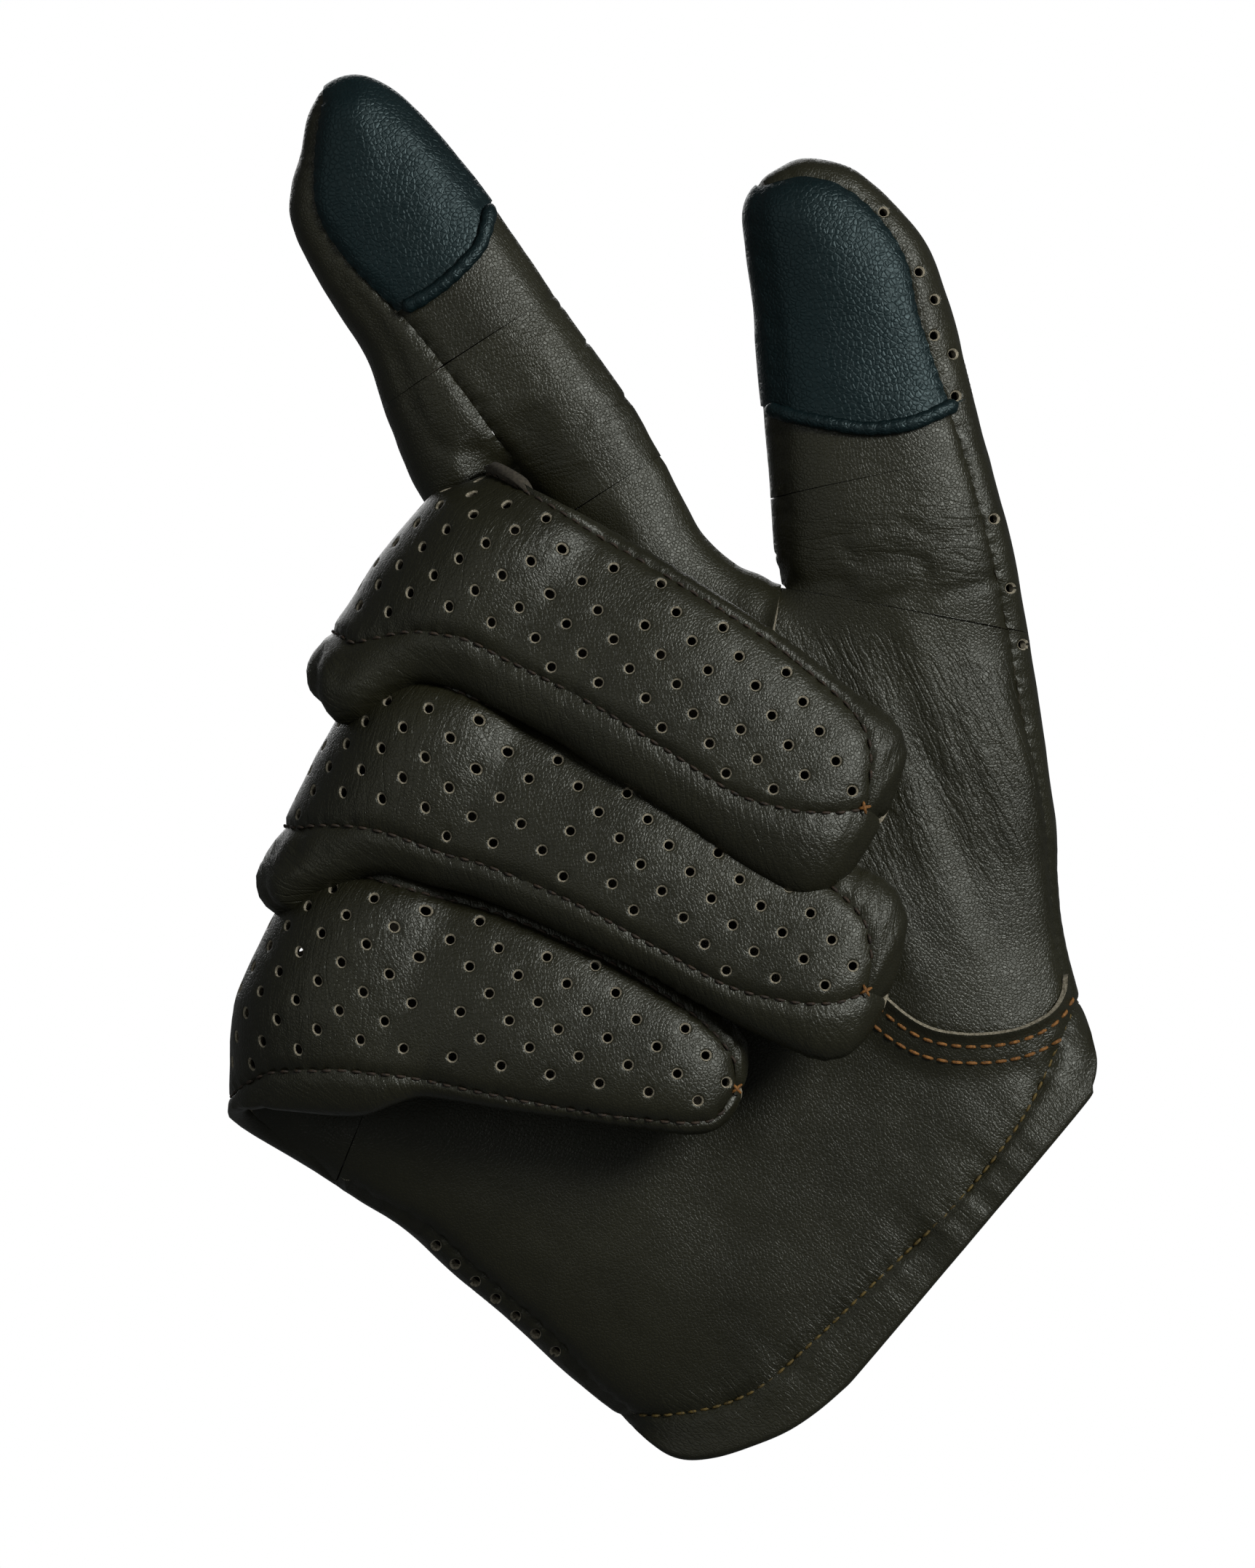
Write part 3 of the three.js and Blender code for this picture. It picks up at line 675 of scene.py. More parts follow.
def weld(points, faces, extras, gap=0.02):
    """Merges points that coincide, and drops faces that collapse."""
    key = np.round(points / gap).astype(np.int64)
    _, first, where = np.unique(key, axis=0, return_index=True, return_inverse=True)
    where = where.ravel()
    faces = where[faces]
    distinct = np.array([len(set(f)) for f in faces])
    tidy = faces[distinct == faces.shape[1]]
    return points[first], tidy, [e[first] for e in extras]


class Sheet:
    """One sheet of leather, kept until all of them are drawn so that neighbours can share their edges."""

    def __init__(self, **values):
        self.__dict__.update(values)


SHEETS = []
SHARED_REACH, SHARED_BLUR = 1.4, 0.55   # how near a neighbour's edge counts, and how softly


def skin(name, points, faces, outward, pelt, material, ending, *, family="back", lift=0.0, thickness=SKIN,
         rim=None, lining=None, cut=None, holes=None, folds=None):
    """Notes down one leather sheet, which sew_together() turns into a closed piece with thickness.

    outward: a direction for each point that its face should look along. lift: how far each point stands
    out from the sheet. cut: points on an edge where the sheet is only divided, so its rim isn't raw.
    ending: how finish_piece() places it. folds: place across and along the creases, and their strength."""
    normals = vertex_normals(points, faces)
    if (normals * outward).sum() < 0:
        faces, normals = faces[:, ::-1], -normals
    none = np.zeros(len(points), bool)
    SHEETS.append(Sheet(name=name, points=points, faces=faces, normals=relax(normals, faces), pelt=pelt,
                        material=material, ending=ending, family=family, thickness=thickness,
                        lift=np.zeros(len(points)) + lift, rim=rim or EDGE, lining=lining or LINING,
                        cut=none if cut is None else cut, holes=none if holes is None else holes,
                        folds=np.zeros((len(points), 3)) if folds is None else folds))


def share_edges(sheets, read):
    """Gives sheets that meet on a dividing line the same directions there."""
    for family in sorted({sheet.family for sheet in sheets if sheet.cut.any()}):
        group = [sheet for sheet in sheets if sheet.family == family and sheet.cut.any()]
        spots = np.vstack([sheet.points[sheet.cut] for sheet in group])
        ways = np.vstack([read(sheet)[sheet.cut] for sheet in group])
        tree = KDTree(len(spots))
        for k, spot in enumerate(spots):
            tree.insert(spot, k)
        tree.balance()
        mean = np.zeros_like(ways)
        for k, spot in enumerate(spots):
            for _, other, gap in tree.find_range(spot, SHARED_REACH):
                agree = max(0.0, float(ways[k] @ ways[other]) - 0.2)
                mean[k] += ways[other] * agree * math.exp(-(gap / SHARED_BLUR) ** 2)
        size = np.linalg.norm(mean, axis=1)[:, None]
        mean = np.where(size > 1e-3, mean / np.maximum(size, 1e-3), ways)
        start = 0
        for sheet in group:
            count = int(sheet.cut.sum())
            read(sheet)[sheet.cut] = mean[start:start + count]
            start += count


def sew_together():
    """Turns every noted sheet into its own closed object."""
    share_edges(SHEETS, lambda sheet: sheet.normals)
    for sheet in SHEETS:
        sheet.top = sheet.points + sheet.normals * sheet.lift[:, None]
        sheet.ways = relax(vertex_normals(sheet.top, sheet.faces), sheet.faces, 1)
    share_edges(SHEETS, lambda sheet: sheet.ways)
    for sheet in SHEETS:
        obj = close_sheet(sheet)
        finish_piece(obj, **sheet.ending)


def close_sheet(sheet):
    top, faces = sheet.top, sheet.faces
    inner = relax(sheet.ways, faces, 2)
    inner[sheet.cut] = sheet.ways[sheet.cut]
    bottom = top - inner * sheet.thickness
    n = len(top)
    every = np.vstack([faces[:, [k, (k + 1) % faces.shape[1]]] for k in range(faces.shape[1])])
    _, index, count = np.unique(np.sort(every, 1), axis=0, return_index=True, return_counts=True)
    border = every[index[count == 1]]
    rims = np.stack([border[:, 1], border[:, 0], border[:, 0] + n, border[:, 1] + n], 1)
    kinds = np.r_[np.zeros(len(faces), int), np.full(len(faces), 2), np.ones(len(rims), int)]
    kinds[2 * len(faces):][sheet.cut[border[:, 0]] & sheet.cut[border[:, 1]]] = 0
    # faces on the lip of a hole take the pale edge material: partly raw-edge colour, partly a painted
    # highlight
    kinds[:len(faces)][sheet.holes[faces].all(1)] = 1
    polygons = [tuple(f) for f in faces] + [tuple(f[::-1] + n) for f in faces] + [tuple(f) for f in rims]
    mesh = bpy.data.meshes.new(sheet.name)
    mesh.from_pydata(((np.vstack([top, bottom]) - ORIGIN) * MM).tolist(), [],
                     [tuple(int(i) for i in f) for f in polygons])
    mesh.polygons.foreach_set("use_smooth", np.ones(len(polygons), bool))
    for m in (sheet.material, sheet.rim, sheet.lining):
        mesh.materials.append(m)
    mesh.polygons.foreach_set("material_index", kinds.astype(np.int32))
    for key, values in (("pelt", sheet.pelt), ("fold", sheet.folds)):
        layer = mesh.attributes.new(key, "FLOAT_VECTOR", "POINT")
        layer.data.foreach_set("vector", np.vstack([values, values]).astype(np.float32).ravel())
    mesh.update()
    ends = np.zeros(len(mesh.edges) * 2, np.int32)
    mesh.edges.foreach_get("vertices", ends)
    ends = np.sort(ends.reshape(-1, 2), 1)
    rim_edges = np.sort(np.vstack([border, border + n]), 1)
    code = ends[:, 0].astype(np.int64) * (4 * n) + ends[:, 1]
    sharp = np.isin(code, rim_edges[:, 0].astype(np.int64) * (4 * n) + rim_edges[:, 1])
    layer = mesh.attributes.new("sharp_edge", "BOOLEAN", "EDGE")
    layer.data.foreach_set("value", sharp)
    if sheet.cut.any():
        corners = faces.ravel()
        ways = np.zeros((len(mesh.loops), 3))
        ways[:len(corners)][sheet.cut[corners]] = sheet.ways[corners[sheet.cut[corners]]]
        mesh.normals_split_custom_set(ways.tolist())
    return new_object(sheet.name, mesh)


def finish_piece(obj, slot, nodes, body=None, pair=None, weights=None):
    """Rides a piece on a body, or else fixes it where it stands, and hides the frame's nodes it replaces."""
    if body:
        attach(obj, body)
    else:
        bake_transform(obj)
    if nodes:
        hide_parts(*nodes)
    return obj


# ---------------------------------------------------------------- perforation
def lattice(low, high, angle=0.0, across=3.8, along=4.1):
    """Punched holes over a box: every other row is shifted, and all of them turn by an angle in degrees."""
    low, high = np.asarray(low, float), np.asarray(high, float)
    middle, reach = (low + high) / 2, np.hypot(*(high - low)) / 2 + 2 * across
    rows = np.arange(-math.ceil(reach / along), math.ceil(reach / along) + 1)
    half = math.ceil(reach / across / 2)
    columns = np.arange(-half, half + 1) * 2 * across
    spots = [(x + (across if row % 2 else 0), row * along) for row in rows for x in columns]
    c, q = math.cos(math.radians(angle)), math.sin(math.radians(angle))
    spots = np.array(spots) @ np.array([[c, -q], [q, c]]) + middle
    return spots[((spots > low - across) & (spots < high + across)).all(1)]


def at_holes(points, holes):
    """Points on the lip of a hole, drawn pale partly as raw cut leather and partly as a painted highlight,
    and how far they sink into it.
    """
    if not len(holes):
        return np.zeros(len(points), bool), np.zeros(len(points))
    near = np.full(len(points), 99.0)
    for centre in holes:
        near = np.minimum(near, np.hypot(*(points - centre).T))
    return near < HOLE_LIP + 0.02, -0.34 * (1 - smooth(near, HOLE_RADIUS, HOLE_LIP + 0.1))


def soft_wrinkles(p, strength=0.25):
    """Gentle unevenness of empty, worked leather."""
    return strength * (noise(p / 17.0, 3) + 0.5 * noise(p / 7.5, 5) + 0.25 * noise(p / 3.6, 9))


SEAM_DEPTH, SEAM_WIDTH = 0.75, 2.0


def seam_groove(distance, along=None):
    """How far the leather turns in next to a seam; the stitches pull small dents."""
    depth = SEAM_DEPTH if along is None else SEAM_DEPTH * (1 + 0.25 * np.cos(along * 2 * math.pi / 3.1))
    edge = np.clip(distance / SEAM_WIDTH, 0, 1)
    return -depth * (1 - np.sqrt(1 - (1 - edge) ** 2))


# ---------------------------------------------------------------- folded fingers
def rest_length(stall):
    """Distance over the back of the folded finger, against distance along the straight one."""
    s = np.arange(stall.start(0.0) - 6, stall.length + 0.01, 0.25)
    x, z = stall.place(np.zeros_like(s), s)
    y = stall_height(stall, np.zeros_like(s), np.minimum(s, stall.length - 12), 1)
    p = stall.posed(np.stack([x, y, z], 1))
    length = np.r_[0, np.cumsum(np.linalg.norm(np.diff(p, axis=0), axis=1))]
    return s, length


def stall_points(stall, u, s, side):
    x, z = stall.place(u, s)
    return np.stack([x, stall_height(stall, u, s, side), z], 1)


BODY_PAIRS = {name: (("hand", f"{name}_base"), (f"{name}_base", f"{name}_end"))
              for name in ("little", "ring", "middle", "index", "thumb")}


def add_stall_skin(stall, part, node, sheet, u, s, faces, outward, lift, slot, cut, lips=None, folds=None,
                   family="back"):
    """Folds a sheet of a finger into place and notes it down; it stays fixed where it is folded."""
    name = f"{node}_skin"
    root, mid = stall.weights(sheet)
    weights = root if part == "base" else mid
    folded = stall.posed(sheet)
    outward = stall.posed(sheet + outward) - folded
    scale, length = rest_length(stall)
    pelt = np.stack([u, np.interp(s, scale, length), np.full(len(u), 40.0 * len(name))], 1)
    ending = {"slot": slot, "nodes": [node] if node in frame["nodes"] else [],
              "pair": BODY_PAIRS[stall.name][0 if part == "base" else 1], "weights": np.r_[weights, weights]}
    skin(name, folded, faces, outward, pelt, LEATHER, ending, family=family, lift=lift, cut=cut, holes=lips,
         folds=folds)


LATTICE_TURN = {"little": 5.0, "ring": 12.7, "middle": 11.7}  # the holes' rows against each finger, degrees
HOLE_FROM_SEAM, HOLE_FROM_CUT, HOLE_FROM_ROW = 1.7, 1.3, 3.4  # the least distances of a hole's centre
ON_CUT, ON_ROW = 0.05, 0.5   # how near a dividing line a point counts as lying on it
FRONT_INSET = 2.2            # how far inside a finger's edges its palm-side seams run


def front_inset(left, right):
    return np.minimum(FRONT_INSET, 0.35 * (right - left))


def back_skins(stall):
    """The perforated back panel of a folded finger, in a base and a tip half."""
    scale, length = rest_length(stall)

    def along(s):
        return np.interp(s, scale, length)

    def seam_line(seam, side, low, high):
        """One long side of the panel, on the back laid out flat."""
        start = stall.start(side * float(seam(ZONE[0]))) if low is None else low
        end = stall.meet[1] if high is None else high
        s = np.arange(start, end, 0.4)
        s = np.r_[s[end - s > 0.2], end]
        return resample(np.stack([side * seam(s), along(s)], 1), 1.0)

    for part, (low, high) in {"base": (None, stall.cut), "tip": (stall.cut, None)}.items():
        one, two = (seam_line(seam, side, low, high) for seam, side in zip(stall.seams, (-1, 1)))
        bottom = resample(np.stack([one[0], two[0]]), 1.0)[1:-1]
        top = resample(np.stack([two[-1], one[-1]]), 1.0)[1:-1]
        if part == "tip":
            two, top = two[:-1], top[:0]
        outline = np.vstack([bottom, two, top, one[::-1]])
        holes = lattice((-34, along(stall.start(0.0))), (34, along(stall.length)), LATTICE_TURN[stall.name])
        holes = holes[inside(holes, outline)]
        holes = holes[distance_to_lines(holes, [one, two]) > HOLE_FROM_SEAM]
        clear = np.abs(holes[:, 1] - along(stall.cut)) > HOLE_FROM_CUT
        if part == "base":
            clear &= holes[:, 1] > along(stall.start(0.0)) + HOLE_FROM_ROW
        holes = holes[clear]
        points, faces = triangulate(outline, holes, MESH)
        u, s = points[:, 0], np.interp(points[:, 1], length, scale)
        sheet = stall_points(stall, u, s, 1)
        lips, sink = at_holes(points, holes)
        seam_gap = distance_to_lines(points, [one, two])
        lift = seam_groove(seam_gap, points[:, 1]) + soft_wrinkles(sheet) + sink
        reach = stall.reach(sheet[:, 0], sheet[:, 2])
        cut = (np.abs(points[:, 1] - along(stall.cut)) < ON_CUT) | (reach < ZONE[0] + ON_ROW)
        folds = np.stack([points[:, 1] + 200, u, 0.35 * np.exp(-((reach - 8) / 9) ** 2)], 1)
        add_stall_skin(stall, part, f"{stall.name}_back_{part}", sheet, u, s, faces,
                       np.tile([0, 1.0, 0], (len(points), 1)), lift, "perforated_leather", cut, lips, folds)


def wall_rows(stall, side, part):
    """Distances along a folded finger at which its side wall has points."""
    if part == "tip":
        low, high = stall.cut, stall.length - 0.05
        t = np.linspace(0, 1, int((high - low) / 0.95))
        return low + (high - low) * (1 - (1 - t) ** 1.35)
    low = float(stall.start(side * float((stall.left if side < 0 else stall.right)(ZONE[0]))))
    after_fold = np.arange(12, stall.cut - 0.3, 1.0)
    return np.r_[np.arange(low, 0, 1.1), np.arange(0, 12, 0.45), after_fold, stall.cut]


def wall_gathers(stall, side, u, s, beyond):
    """Fine puckers along a side wall, and pleats where its lobe stands out beyond the seam."""
    puckers = 0.16 * np.sin(s * 2 * math.pi / 2.7 + 3 * noise_at(4, s / 9, u / 9))
    puckers *= smooth(noise_at(8, s / 14, float(side)), -0.3, 0.5)
    sway = 2.2 * noise_at(12, u / 6, s / 9)
    pleats = np.abs(np.sin((stall.reach(*stall.place(u, s)) + sway) * math.pi / 2.6))
    return puckers - 0.9 * beyond * (1 - pleats)


def wall_skins(stall, side):
    """The side wall of a folded finger: from the back seam round to the front seam."""
    seam = stall.seams[0 if side < 0 else 1]
    word = "ulnar" if side < 0 else "radial"
    over, under = np.linspace(1, 0, 9)[:, None] ** 1.7, np.linspace(0, 1, 5)[1:, None] ** 1.7
    sides = [1] * len(over) + [-1] * len(under)
    wide = len(sides)
    for part in ("base", "tip"):
        rows = wall_rows(stall, side, part)
        low = rows[0]
        left, right, _, level = stall_section(stall, rows)
        edge = left if side < 0 else right
        inner = side * np.minimum(seam(rows), np.abs(edge) - 0.3)
        opening = smooth(rows, low, low + 6) if part == "base" else 1.0
        front = edge - side * front_inset(left, right) * opening
        inner = np.where(rows > stall.meet[1], stall.meet[0], inner)
        front = lerp(front, (left + right) / 2, smooth(rows, stall.length - 12, stall.length - 3))
        inner = np.where(side * (edge - inner) < 0.02, edge, inner)
        front = np.where(side * (edge - front) < 0.02, edge, front)
        u = np.vstack([edge + (inner - edge) * over, edge + (front - edge) * under]).T
        s = np.repeat(rows[:, None], wide, 1)
        if part == "base":
            s = s + (stall.start(u) - low) * (1 - smooth(rows, low, low + 6))[:, None]
        sheet = np.stack([stall_points(stall, u[:, k], s[:, k], which) for k, which in enumerate(sides)], 1)
        step = np.linalg.norm(np.diff(sheet, axis=1), axis=2)
        arc = np.concatenate([np.zeros((len(rows), 1)), np.cumsum(step, 1)], 1)
        flat = sheet.reshape(-1, 3)
        x, z = stall.place((left + right) / 2, rows)
        outward = flat - np.repeat(np.stack([x, np.full(len(rows), level), z], 1), wide, 0)
        beyond = smooth(side * u - np.abs(seam(s)), 0.5, 5) * fold_zone(stall, u, s)
        lift = seam_groove(np.minimum(arc, arc[:, -1:] - arc), s) + wall_gathers(stall, side, u, s, beyond)
        lift = lift.ravel() + soft_wrinkles(flat, 0.3)
        cut = np.abs(s.ravel() - stall.cut) < ON_CUT
        if part == "base":
            cut[:wide] = True
        folds = np.stack([s + 0.7 * side * arc, arc, 0.3 + 0.4 * beyond], 2).reshape(-1, 3)
        add_stall_skin(stall, part, f"{stall.name}_wall_{word}_{part}", flat, u.ravel(), s.ravel(),
                       quads(*u.shape), outward, lift, "smooth_leather", cut, folds=folds)


def front_skins(stall):
    """The palm-side panel of a folded finger, hidden while it is folded."""
    t = np.linspace(0, 1, 19)[None]
    for part, low, high in (("base", ZONE[0] - 4, stall.cut), ("tip", stall.cut, stall.length - 1.2)):
        rows = np.linspace(low, high, int((high - low) / 1.5))
        left, right, _, _ = stall_section(stall, rows)
        inset = front_inset(left, right)
        u = lerp((left + inset)[:, None], (right - inset)[:, None], t)
        s = np.repeat(rows[:, None], t.shape[1], 1)
        if part == "base":
            s = lerp(stall.start(u), stall.cut, np.linspace(0, 1, len(rows))[:, None])
            left, right, _, _ = stall_section(stall, s)
            inset = front_inset(left, right) * smooth(s, ZONE[0], ZONE[0] + 8)
            u = lerp(left + inset, right - inset, t)
        flat = stall_points(stall, u.ravel(), s.ravel(), -1)
        cut = np.abs(s.ravel() - stall.cut) < ON_CUT
        cut |= stall.reach(flat[:, 0], flat[:, 2]) < ZONE[0] + ON_ROW
        add_stall_skin(stall, part, f"{stall.name}_front_{part}", flat, u.ravel(), s.ravel(), quads(*u.shape),
                       np.tile([0, -1.0, 0], (len(flat), 1)), soft_wrinkles(flat, 0.2), "smooth_leather", cut,
                       family="front")


for stall in FOLDED:
    back_skins(stall)
    wall_skins(stall, -1)
    wall_skins(stall, 1)
    front_skins(stall)


# ---------------------------------------------------------------- hand, forefinger and thumb
KEY_SEAM = spline([(53.8, 16.0), (50.6, 13.6), (46.5, 13.2), (42, 14.8), (38, 17.8), (34, 22.4), (31.2, 28),
                   (30.8, 36), (33, 50), (39, 63), (48, 75), (60, 86), WEB], 1.0)
THUMB_START = ((92.91, 56.23), WEB)


def past_thumb(p):
    """How far points of the glove's plane lie past the line where the thumb's bend begins."""
    (x0, z0), (x1, z1) = THUMB_START
    ahead = unit([x1 - x0, z1 - z0])
    return (p[:, 0] - x0) * ahead[1] - (p[:, 1] - z0) * ahead[0]


def thumb_weights(p):
    """The thumb's root bend starts at the web and at the outer edge, so its share grows between two lines."""
    past = past_thumb(p[:, [0, 2]])
    _, s = THUMB.local(p[:, 0], p[:, 2])
    left = THUMB.cut - s
    share = np.where(past <= 0, 0, np.where(left <= 0, 1, past / np.maximum(past + left, 1e-6)))
    return smooth(share, 0, 1), smooth(s, THUMB.cut, THUMB.mid_s + MID_ZONE)


THUMB.weights = thumb_weights


def clean_outline(points, gap=0.3):
    """A closed polygon without points that nearly coincide."""
    keep = [points[0]]
    for p in points[1:]:
        if np.hypot(*(p - keep[-1])) > gap:
            keep.append(p)
    while np.hypot(*(keep[-1] - keep[0])) < gap:
        keep.pop()
    return np.array(keep)


def refine(polygon, spacing=1.1):
    """Splits long sides of a closed polygon, leaving its points where they are."""
    out = []
    for a, b in zip(polygon, np.roll(polygon, -1, axis=0)):
        n = max(1, int(round(np.hypot(*(b - a)) / spacing)))
        out.extend(a + (b - a) * k / n for k in range(n))
    return np.array(out)


def flat_points(points, side):
    """Points of the glove's plane raised on to its palm (-1) or back (1) surface."""
    return np.stack([points[:, 0], hand_height(points[:, 0], points[:, 1], side), points[:, 1]], 1)


def flat_normals(points, side):
    step = 0.4
    x, z = points[:, 0], points[:, 1]
    dx = (hand_height(x + step, z, side) - hand_height(x - step, z, side)) / (2 * step)
    dz = (hand_height(x, z + step, side) - hand_height(x, z - step, side)) / (2 * step)
    n = np.stack([-dx, np.ones(len(x)), -dz], 1) * side
    return n / np.linalg.norm(n, axis=1)[:, None]


# A field of holes keeps further from a panel's edges than a single row does.
LONGEST_ROW, FIELD_MARGIN, ROW_MARGIN = 60, 2.0, 1.15


def panel(name, parts, material, slot, nodes, *, seams=(), silhouette=(), lift=None, cuts=(),
          body=None, stall=None, part="base", wrinkle=0.3, thickness=SKIN, creases=None):
    """A leather panel of the flat glove, made of one or more outlines. Each is drawn on the palm (-1) or the
    back (1), with the holes it is punched with."""
    piles, count = [], 0
    for outline, side, spots in parts:
        outline = refine(clean_outline(outline))
        spots = np.zeros((0, 2)) if spots is None else spots
        if len(spots):
            margin = FIELD_MARGIN if len(spots) > LONGEST_ROW else ROW_MARGIN
            spots = spots[inside(spots, outline)]
        if len(spots):
            spots = spots[distance_to_lines(spots, [closed_line(outline)]) > margin]
        points, faces = triangulate(outline, spots, MESH, silhouette)
        sheet = flat_points(points, side)
        gap = distance_to_lines(points, seams) if len(seams) else np.full(len(points), 99.0)
        lips, sink = at_holes(points, spots)
        up = seam_groove(gap, points.sum(1)) + soft_wrinkles(sheet, wrinkle) + sink
        if lift is not None:
            up = up + lift(points, side)
        ends = distance_to_lines(points, cuts) < 0.2 if len(cuts) else np.zeros(len(points), bool)
        if side < 0:
            faces = faces[:, ::-1]
        piles.append((sheet, faces + count, up, ends, np.tile([0, float(side), 0], (len(points), 1)), lips))
        count += len(points)
    sheet, faces, lifts, ends, outs, lips = (np.concatenate(column) for column in zip(*piles))
    sheet, faces, (lifts, ends, outs, lips) = weld(sheet, faces, [lifts, ends, outs, lips])
    pelt = np.stack([sheet[:, 0], sheet[:, 2], sheet[:, 1] + 31.0 * (len(name) % 7)], 1)
    weights = pair = None
    if stall is not None:
        weights = stall.weights(sheet)[0 if part == "base" else 1]
        pair = BODY_PAIRS[stall.name][0 if part == "base" else 1]
        weights = np.r_[weights, weights]
    ending = {"slot": slot, "nodes": nodes, "body": body, "pair": pair, "weights": weights}
    skin(name, sheet, faces, outs, pelt, material, ending, family="front" if parts[0][1] < 0 else "back",
         lift=lifts, cut=ends, thickness=thickness, holes=lips,
         folds=None if creases is None else creases(sheet[:, [0, 2]]))


def row_line(stall):
    """The line across the hand where a folded finger's own skins begin."""
    left = float(stall.left(ZONE[0] - 3 if stall is LITTLE else ZONE[0]))
    right = float(stall.right(ZONE[0]))
    a = np.array(stall.place(-left, stall.start(-left)))
    b = np.array(stall.place(right, stall.start(right)))
    return resample(np.stack([a, b]), 1.1)


def offset_line(line, amount):
    """A polyline moved sideways, to the right of its direction."""
    ahead = np.gradient(line, axis=0)
    across = np.stack([ahead[:, 1], -ahead[:, 0]], 1) / np.linalg.norm(ahead, axis=1)[:, None]
    return line + amount * across


def past_index(p):
    return INDEX.reach(p[:, 0], p[:, 1]) - ZONE[0]


def before_cut(stall):
    return lambda p: stall.cut - stall.local(p[:, 0], p[:, 1])[1]


def after_cut(stall):
    return lambda p: stall.local(p[:, 0], p[:, 1])[1] - stall.cut


def cut_line(stall, half=30.0):
    return np.array([stall.place(-half, stall.cut), stall.place(half, stall.cut)])


def local_line(stall, points):
    return spline([stall.place(u, s) for u, s in points])


def part_of(line, start, end):
    """The stretch of a polyline between the points nearest to start and end."""
    i = int(np.argmin(np.hypot(*(line - np.array(start)).T)))
    j = int(np.argmin(np.hypot(*(line - np.array(end)).T)))
    return line[i:j + 1] if i <= j else line[j:i + 1][::-1]


# Lines of the hem, from the ulnar edge to the radial edge.
RIM_LINE = spline([(-51.5, 22), (-49.8, 14.5), (-46, 9.8), (-40, 5.8), (-33, 2.4), (-24, 0.4), (-14, 0),
                   (36, 0), (42, 1.0), (46, 3), (49, 6)])
STITCH_LINE = spline([(-51.2, 24.5), (-47, 19.8), (-40, 14), (-35, 11.2), (-30, 9.6), (-20, 8.2), (-10, 7.1),
                      (0, 6), (10, 4.9), (20, 4.7), (30, 5.4), (38, 7.0), (46, 9.2), (51.4, 10.2)])
seam_bow = smooth(HAND_LEFT[:, 1], 30, 42) * (1 - smooth(HAND_LEFT[:, 1], 66, 80))
ULNAR_SEAM = HAND_LEFT + np.stack([1.5 + 1.6 * seam_bow, 0 * seam_bow], 1)
OUTER_SEAM = spline([(48.8, 9.5), (54.2, 16.5), (60, 23), (68, 31.2), (76, 40.6), (86, 52.6), (95, 63.6),
                     (105, 77.8), (113, 90.4), (121, 103.8), (127.2, 112), (129.8, 120), (130, 127),
                     (127.6, 133.2), (124, 136.6), (121, 138.6)])
THUMB_INNER = part_of(HAND_RIGHT, (121, 139.2), WEB)
THUMB_OUTER = part_of(HAND_RIGHT, (49, 6), (121, 139.2))

INDEX_LEFT = part_of(INDEX_OUTLINE, NOTCH["middle_index"], (87, 204.4))
INDEX_RIGHT = part_of(INDEX_OUTLINE, (75.6, 121), (87, 204.4))
INDEX_FRONT_SEAM = spline([(54.4, 122.4), (56.3, 130), (57.6, 136), (59.2, 140.4), (61, 147), (63, 155),
                           (65.6, 168), (67, 183), (70, 192), (77, 198.6), (85, 203.4)])
INDEX_BACK_SEAM = spline([(54.6, 121.6), (59, 128), (60.4, 137), (58, 144.6), (53.4, 150.4), (56, 159.4),
                          (60.8, 168.4), (64.2, 180), (67, 189), (70.6, 194), (78, 199.6), (86, 203.2)])
INDEX_RIGHT_SEAM = spline([(74.2, 121.4), (77.4, 130), (79.6, 138), (82.4, 149), (85.6, 160), (88.4, 171),
                           (90.4, 180), (92, 190), (92, 196.6), (90, 201), (86, 203.3)])
PATCH_EDGE = local_line(INDEX, [(-9.6, 29.8), (-4, 29.3), (0.4, 29.5), (5, 30.4), (9, 32), (14.6, 37.8)])
THUMB_PATCH_EDGE = local_line(THUMB, [(-16.4, 33.6), (-14.9, 32.4), (-10, 29.4), (-4.5, 26.9), (0.5, 25),
                                      (5.1, 24.3), (10, 24.4), (18.5, 26.4)])


def ended_on(line, other):
    """A line cut off where it meets another one."""
    gaps = np.hypot(line[:, None, 0] - other[None, :, 0], line[:, None, 1] - other[None, :, 1])
    i, j = np.unravel_index(np.argmin(gaps), gaps.shape)
    return np.vstack([line[:i], other[j]])


PATCH_EDGE = ended_on(PATCH_EDGE, INDEX_RIGHT)
THUMB_PATCH_EDGE = ended_on(THUMB_PATCH_EDGE[::-1], THUMB_INNER)[::-1]

# ---------------------------------------------------------------- palm, keystone and back
ROWS = np.vstack([[INDEX.place(14.5, ZONE[0]), INDEX.place(-6.6, ZONE[0])], [NOTCH["middle_index"]],
                  row_line(MIDDLE)[::-1], [NOTCH["ring_middle"]], row_line(RING)[::-1],
                  [NOTCH["little_ring"]], row_line(LITTLE)[::-1]])
INDEX_LINE = np.array([INDEX.place(14.9, ZONE[0]), INDEX.place(-7, ZONE[0])])
FLAT_ENDS = [row_line(stall) for stall in FOLDED]
FLAT_ENDS += [INDEX_LINE, np.array(THUMB_START), cut_line(INDEX), cut_line(THUMB), STITCH_LINE]
LITTLE_ROW = row_line(LITTLE)
SEAM_TOP = np.array([ULNAR_SEAM[-1, 0], np.interp(ULNAR_SEAM[-1, 0], LITTLE_ROW[:, 0], LITTLE_ROW[:, 1])])
palm_outline = np.vstack([STITCH_LINE[(STITCH_LINE[:, 0] > -49.9) & (STITCH_LINE[:, 0] < 49.4)],
                          part_of(OUTER_SEAM, (50, 11), (53.2, 15.2)), KEY_SEAM[1:-1], WEB_SIDE[:-1],
                          ROWS[ROWS[:, 0] > SEAM_TOP[0]], [SEAM_TOP], ULNAR_SEAM[::-1]])
HAND_HOLES = lattice((-60, -8), (145, 210), 0.0)


